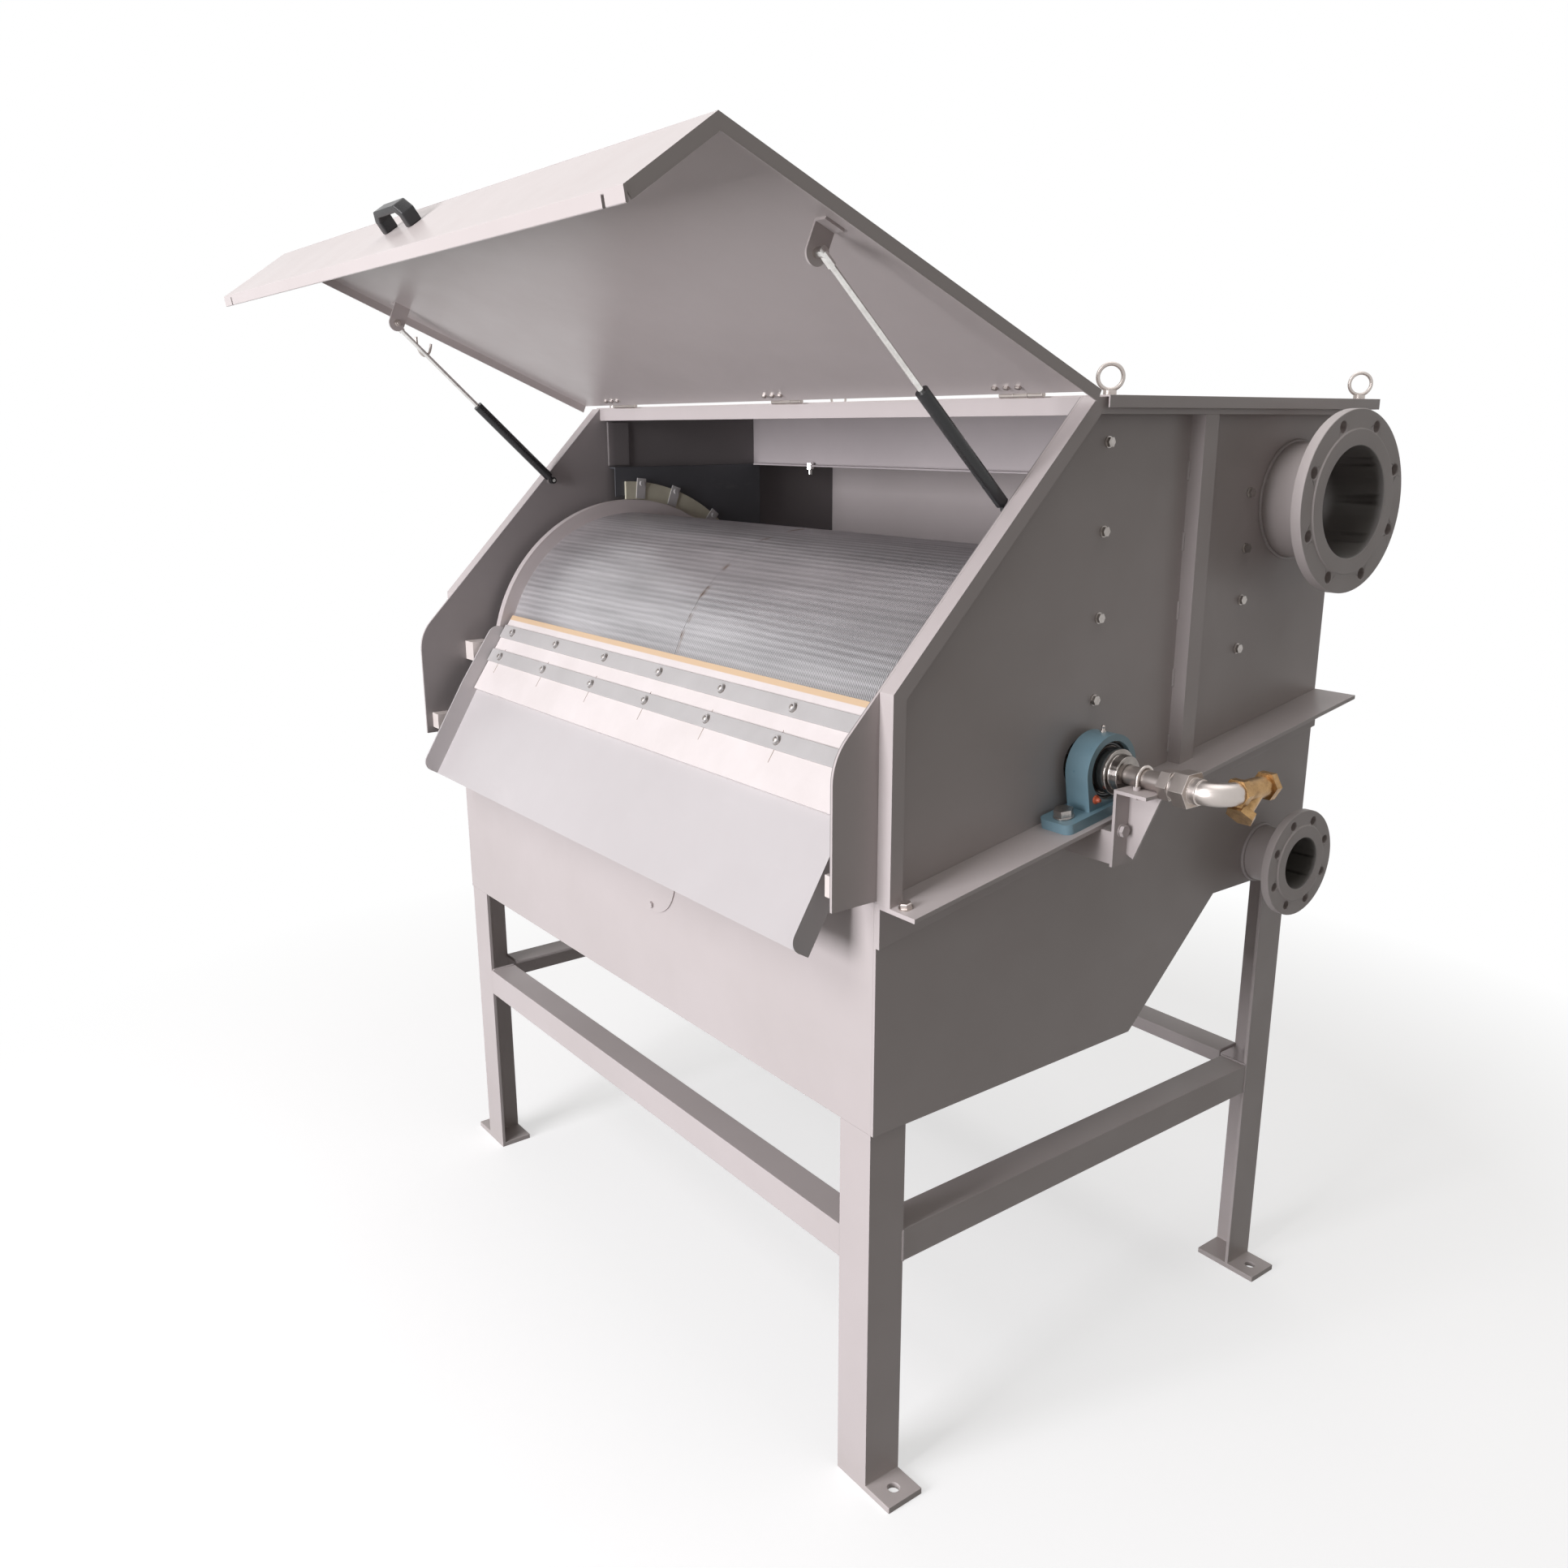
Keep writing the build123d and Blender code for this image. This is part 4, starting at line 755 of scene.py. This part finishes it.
def clampCaps(look):
    places, down = bladePlaces(look)
    outward = np.array((0.0, down[2], -down[1]))
    # Quarter-ellipse dome on a flat washer
    sheet = look["washerSheet"]
    turn = np.linspace(0, math.pi / 2, 6)
    dome = np.stack([sheet + look["domeHeight"] * np.sin(turn), look["domeRadius"] * np.cos(turn)], axis=1)
    washer = [(0, 0), (0, look["washer"]), (sheet, look["washer"] - look["washerSoft"])]
    profile = np.concatenate([washer, dome])
    caps = [turned(profile, place + down * reach + outward * look["strip"], outward, 18)
            for reach in look["rows"] for place in places]
    surfacePiece("clamp_bolt_caps", caps, "bolt", "chute", creaseAngle=30)


clampCaps(capLook)

# Slots of the lower clamp row, seen as short lines on the blade's face
slotLook = {"above": 0.089, "below": 0.155, "radius": 0.0007, "point": 0.001, "pitch": 0.2267, "count": 7}


def bladeSlots(look):
    places, down = bladePlaces(look)
    length, point, radius = look["below"] - look["above"], look["point"], look["radius"]
    profile = [(0, 0), (point, radius), (length - point, radius), (length, 0)]
    slots = [turned(profile, place + down * look["above"], down, 8) for place in places]
    surfacePiece("blade_slots", slots, "slot", "chute")


bladeSlots(slotLook)

# Weld beads of the stiffeners, the stand's rails and the pipe connections
weldLook = {
    "bead": 0.0035, "ring": 0.0042, "stitch": 0.035, "stitchPitch": 0.125,
    "stiffener": {"face": 0.8005, "edges": (0.135, 0.138), "span": (1.285, 1.885)},
    "railHeights": (0.450, 0.515),
    "frontRail": {"face": 0.714, "ahead": 0.585648, "inside": 0.523},
    "sideRail": {"ahead": 0.508, "inside": 0.730, "outside": 0.793, "face": 0.7935},
    "nozzleStart": 0.8015, "ringGap": 0.0015, "flangeGap": 0.001, "ripplesPerMetre": 900,
    "inlet": (0.472, 1.740, 0.1095, 0.903), "outlet": (0.468, 1.021, 0.05715, 0.878),
}


def weldBeads(look):
    radius = look["bead"]
    # Stitches up both edges of the side stiffeners
    stiffener = look["stiffener"]
    face = stiffener["face"]
    starts = np.arange(*stiffener["span"], look["stitchPitch"])
    stitches = [beadLine((face, edge, start), (face, edge, start + look["stitch"]), radius)
                for start in starts for edge in stiffener["edges"]]
    surfacePiece("stiffener_welds", bothSides(stitches), "weld", "machine")
    # Front and rear rails meet the legs: beads on the top, down the inner side and below
    low, high = look["railHeights"]
    rail = look["frontRail"]
    beads = []
    for way in (-1, 1):
        face, ahead, inside = rail["face"], way * rail["ahead"], way * rail["inside"]
        beads.append(beadLine((face, ahead, high), (face, inside, high), radius))
        beads.append(beadLine((face, inside, high), (face, inside, low), radius))
        beads.append(beadLine((face, ahead, low), (face, inside, low), radius))
    surfacePiece("rail_welds", bothSides(beads), "weld", "machine")
    # Side rails: beads up the outer face and over the top
    rail = look["sideRail"]
    beads = []
    for ahead in (-rail["ahead"], rail["ahead"]):
        beads.append(beadLine((rail["face"], ahead, low), (rail["face"], ahead, high), radius))
        beads.append(beadLine((rail["inside"], ahead, high), (rail["outside"], ahead, high), radius))
    surfacePiece("side_rail_welds", bothSides(beads), "weld", "machine")
    # Each pipe has a bead round it at the wall and one behind its flange
    for name in ("inlet", "outlet"):
        y, z, pipe, flange = look[name]
        rings = [beadRing((place, y, z), (1, 0, 0), pipe + look["ringGap"], look["ring"],
                          round(pipe * look["ripplesPerMetre"]))
                 for place in (look["nozzleStart"], flange - look["flangeGap"])]
        surfacePiece(f"{name}_welds", rings, "weld", "machine")


weldBeads(weldLook)
print("stage: welds")

# Small wire loop on the hood's left edge
loopLook = {
    "x": -0.8455, "radius": 0.0032, "points": 25,
    "top": (-0.6146, 2.0889), "foot": (-0.5796, 2.0736), "bottom": (-0.5998, 2.0473),
}


def hoodLoop(look):
    # Half ellipse from one end of the loop over its lowest point to the other end
    top, foot, bottom = (np.array((look["x"], *look[key])) for key in ("top", "foot", "bottom"))
    middle = (top + foot) / 2
    turn = np.linspace(0, math.pi, look["points"])[:, None]
    path = middle + np.cos(turn) * (top - middle) + np.sin(turn) * (bottom - middle)
    surfacePiece("hood_loop", [tubeAlong(path, look["radius"])], "steel", "hood")


hoodLoop(loopLook)
print("stage: small parts")

# Hem over the hood's front lip, with soft edges, and the seam inside its bend
hemLook = {
    "panelLength": 0.812, "bend": 58.3, "frontLength": 0.167, "fold": 63.5,
    "half": 0.8485, "grow": 0.0007, "round": 0.0012, "reach": 0.020,
    "clear": (0.7936, 0.8008), "clearStep": 0.0003, "clearReach": 0.0048,
    "seamHalf": 0.838, "seamRadius": 0.0022, "seamRipple": 0.006,
}


def hoodHem(look):
    # The hood's section in (y, z) starts at the hinge, and each bend turns the next length further
    turns = np.radians(hoodAngle + np.cumsum((0.0, look["bend"], look["fold"])))
    directions = np.stack([np.cos(turns), np.sin(turns)], axis=1)
    bend = np.array(hoodHinge) + look["panelLength"] * directions[0]
    end = bend + look["frontLength"] * directions[1]
    along = directions[2]
    inward = np.array((-along[1], along[0]))
    grow, soft = look["grow"], look["round"]
    low, high = -grow, hoodSheet + grow

    def outline(reach):
        # Chamfered rectangle round the lip, in (y, z)
        corners = np.array([(-grow + soft, low), (reach + grow - soft, low), (reach + grow, low + soft),
                            (reach + grow, high - soft), (reach + grow - soft, high), (-grow + soft, high),
                            (-grow, high - soft), (-grow, low + soft)])
        return end + corners[:, :1] * along + corners[:, 1:] * inward

    wide, short = outline(look["reach"]), outline(look["clearReach"])
    middle = wide.mean(axis=0)
    (near, far), step, end = look["clear"], look["clearStep"], look["half"]
    # Across the hood from a pole to a pole, short where the casing's sides pass when the hood is shut
    half = [(near - step, wide), (near, short), (far, short), (far + step, wide), (end, wide),
            (end, np.tile(middle, (len(wide), 1)))]
    rows = [(-x, shape) for x, shape in reversed(half)] + half
    grid = np.array([np.insert(shape, 0, x, axis=1) for x, shape in rows])
    surfacePiece("hood_hem", [grid], "hood", "hood")
    inner = bend + np.array((-math.sin(turns[0]), math.cos(turns[0]))) * hoodSheet
    seam = beadLine((-look["seamHalf"], *inner), (look["seamHalf"], *inner), look["seamRadius"],
                    ripple=look["seamRipple"], segments=8)
    surfacePiece("hood_seam", [seam], "weld", "hood")


hoodHem(hemLook)

# Gusset of the spray bracket and the clip round the pipe
bracketLook = {
    "plane": -0.118, "sheet": 0.005, "soft": 0.97, "edge": 0.0008,
    "corners": ((0.9175, 1.2800), (0.9830, 1.2770), (0.9330, 1.1580), (0.9175, 1.1640)),
    "clipX": 0.938, "clipRadius": 0.02035, "clipBar": 0.0033, "clipFoot": 1.270, "clipPoints": 25,
}


def bracketDetails(look):
    corners = np.array(look["corners"])
    middle = corners.mean(axis=0)
    back, front = look["plane"] + look["sheet"] / 2, look["plane"] - look["sheet"] / 2
    soft, edge = look["soft"], look["edge"]
    # From one face to the other: the outline at the share of its size that each row gives
    rows = [(front, 0.0), (front, soft), (front + edge, 1.0), (back - edge, 1.0), (back, soft), (back, 0.0)]
    grid = np.array([[(x, y, z) for x, z in middle + (corners - middle) * size] for y, size in rows])
    surfacePiece("bracket_gusset", [grid], "sheet", "machine")
    # Two straight legs and a half circle over the pipe
    turn = np.linspace(0, math.pi, look["clipPoints"])
    radius, foot = look["clipRadius"], look["clipFoot"]
    arch = np.stack([drumAxis.y - radius * np.cos(turn), drumAxis.z + radius * np.sin(turn)], axis=1)
    line = np.concatenate([[(arch[0, 0], foot)], arch, [(arch[-1, 0], foot)]])
    path = np.insert(line, 0, look["clipX"], axis=1)
    surfacePiece("pipe_clip", [tubeAlong(path, look["clipBar"], 14)], "steel", "machine")


bracketDetails(bracketLook)

# Bolt that hangs from the lip of the head box
lipBoltLook = {"place": (-0.522, 0.314, 1.779), "head": (0.008, 0.017), "stud": (0.014, 0.005), "lip": 0.0015,
               "overlap": 0.001}


def lipBolt(look):
    place, downward, upward = np.array(look["place"]), (0, 0, -1), (0, 0, 1)
    heads = [hexagonHead(*look["head"], place, downward),
             hexagonHead(*look["head"], place + (0, 0, look["lip"]), upward)]
    surfacePiece("lip_bolt_heads", heads, "chrome", "machine", creaseAngle=25)
    length, radius = look["stud"]
    start = place - (0, 0, look["head"][0] - look["overlap"])
    stud = [(0, 0), (0, radius), (length - 0.001, radius), (length, radius * 0.8), (length, 0)]
    stud = turned(stud, start, downward, 16)
    surfacePiece("lip_bolt_stud", [stud], "chrome", "machine")


lipBolt(lipBoltLook)
print("stage: hem, bracket and bolts")

# Floor and world: plain light on the object, and white where the camera, a mirror or glass looks
stageLook = {
    "floorHalf": 30,
    "unseenFloor": (0.21, 0.205, 0.20),
    "seenFloor": 0.55,
    "seenLift": 0.58,
    "fadeStart": 1.7,
    "fadeEnd": 2.8,
    "worldColour": (1.0, 0.96, 0.88),
    "worldStrength": 0.162,
}


def seenShare(tree):
    # 1 for rays that come straight from a camera, a mirror or clear glass, and 0 for light on the object
    path = tree.nodes.new("ShaderNodeLightPath")
    share = calculate(tree, "MAXIMUM", path.outputs["Is Camera Ray"], path.outputs["Is Glossy Ray"])
    return calculate(tree, "MAXIMUM", share, path.outputs["Is Transmission Ray"])


def mixShaders(tree, factor, first, second):
    node = tree.nodes.new("ShaderNodeMixShader")
    tree.links.new(factor, node.inputs["Fac"])
    tree.links.new(first, node.inputs[1])
    tree.links.new(second, node.inputs[2])
    return node.outputs["Shader"]


def makeFloor(look):
    size = look["floorHalf"]
    mesh = bpy.data.meshes.new("floor")
    corners = [(-size, -size, 0), (size, -size, 0), (size, size, 0), (-size, size, 0)]
    mesh.from_pydata(corners, [], [(0, 1, 2, 3)])
    floor = bpy.data.objects.new("floor", mesh)
    scene.collection.objects.link(floor)
    material = bpy.data.materials.new("floorPale")
    material.use_nodes = True
    tree = material.node_tree
    tree.nodes.clear()
    output = tree.nodes.new("ShaderNodeOutputMaterial")
    unseen = tree.nodes.new("ShaderNodeBsdfDiffuse")
    unseen.inputs["Color"].default_value = (*look["unseenFloor"], 1)
    seen = tree.nodes.new("ShaderNodeBsdfDiffuse")
    seen.inputs["Color"].default_value = (*(look["seenFloor"],) * 3, 1)
    lift = tree.nodes.new("ShaderNodeEmission")
    lift.inputs["Strength"].default_value = look["seenLift"]
    near = tree.nodes.new("ShaderNodeAddShader")
    tree.links.new(seen.outputs["BSDF"], near.inputs[0])
    tree.links.new(lift.outputs["Emission"], near.inputs[1])
    far = tree.nodes.new("ShaderNodeEmission")
    # The floor turns plain white away from the object
    point = objectPoint(tree)
    squareX = calculate(tree, "POWER", axisValue(tree, point, "X"), 2.0)
    squareY = calculate(tree, "POWER", axisValue(tree, point, "Y"), 2.0)
    away = calculate(tree, "SQRT", calculate(tree, "ADD", squareX, squareY))
    fade = ramp(tree, away, look["fadeStart"], look["fadeEnd"], 0, 1)
    visible = mixShaders(tree, fade, near.outputs["Shader"], far.outputs["Emission"])
    whole = mixShaders(tree, seenShare(tree), unseen.outputs["BSDF"], visible)
    tree.links.new(whole, output.inputs["Surface"])
    mesh.materials.append(material)
    floor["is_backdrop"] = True


def makeWorld(look):
    world = bpy.data.worlds.new("studio")
    scene.world = world
    world.use_nodes = True
    tree = world.node_tree
    tree.nodes.clear()
    output = tree.nodes.new("ShaderNodeOutputWorld")
    light = tree.nodes.new("ShaderNodeBackground")
    light.inputs["Color"].default_value = (*look["worldColour"], 1)
    light.inputs["Strength"].default_value = look["worldStrength"]
    white = tree.nodes.new("ShaderNodeBackground")
    white.inputs["Color"].default_value = (1, 1, 1, 1)
    both = mixShaders(tree, seenShare(tree), light.outputs["Background"], white.outputs["Background"])
    tree.links.new(both, output.inputs["Surface"])


makeFloor(stageLook)
makeWorld(stageLook)

# Three soft lamps; places in metres, power in watts
lamps = {
    "frontLamp": {"place": (0.3, -6.5, 2.0), "aim": (0, -0.3, 1.0), "size": (2.4, 3.0), "power": 385,
                  "colour": (0.972, 0.962, 1.0)},
    "highLamp": {"place": (0.2, -4.6, 5.2), "aim": (0, -0.4, 1.0), "size": (2.4, 2.4), "power": 92,
                 "colour": (1, 0.985, 1)},
    "topLamp": {"place": (0, 0.5, 6), "aim": (0, 0, 1), "size": (5, 4), "power": 95,
                "colour": (1, 0.985, 0.985)},
}


def makeLamp(name, look):
    data = bpy.data.lights.new(name, "AREA")
    data.shape = "RECTANGLE"
    data.size, data.size_y = look["size"]
    data.energy = look["power"]
    data.color = look["colour"]
    lamp = bpy.data.objects.new(name, data)
    scene.collection.objects.link(lamp)
    lamp.location = look["place"]
    aim = Vector(look["aim"]) - Vector(look["place"])
    lamp.rotation_euler = aim.to_track_quat("-Z", "Y").to_euler()
    lamp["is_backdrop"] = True


for lampName, lampLook in lamps.items():
    makeLamp(lampName, lampLook)
print("stage: floor and light")

# The photograph's viewpoint, in metres, millimetres of lens and degrees
cameraLook = {
    "place": (2.300, -1.902, 1.881),
    "lens": 30.33,
    "sensor": 36.0,
    "yaw": 53.01,
    "pitch": 15.14,
    "roll": -0.22,
    "nearest": 0.05,
    "farthest": 200,
}


def makeCamera(look):
    # Turned by yaw about the vertical, pitched down and rolled about its line of sight
    yaw, pitch, roll = (math.radians(look[key]) for key in ("yaw", "pitch", "roll"))
    ahead = Vector((-math.sin(yaw) * math.cos(pitch), math.cos(yaw) * math.cos(pitch), -math.sin(pitch)))
    level = Vector((math.cos(yaw), math.sin(yaw), 0))
    upright = level.cross(ahead)
    right = math.cos(roll) * level + math.sin(roll) * upright
    up = math.cos(roll) * upright - math.sin(roll) * level
    data = bpy.data.cameras.new("camera")
    data.lens = look["lens"]
    data.sensor_width = look["sensor"]
    data.clip_start = look["nearest"]
    data.clip_end = look["farthest"]
    camera = bpy.data.objects.new("camera", data)
    scene.collection.objects.link(camera)
    turn = Matrix((right, up, -ahead)).transposed().to_4x4()
    camera.matrix_world = Matrix.Translation(Vector(look["place"])) @ turn
    scene.camera = camera


makeCamera(cameraLook)
print("stage: camera")

low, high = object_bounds()
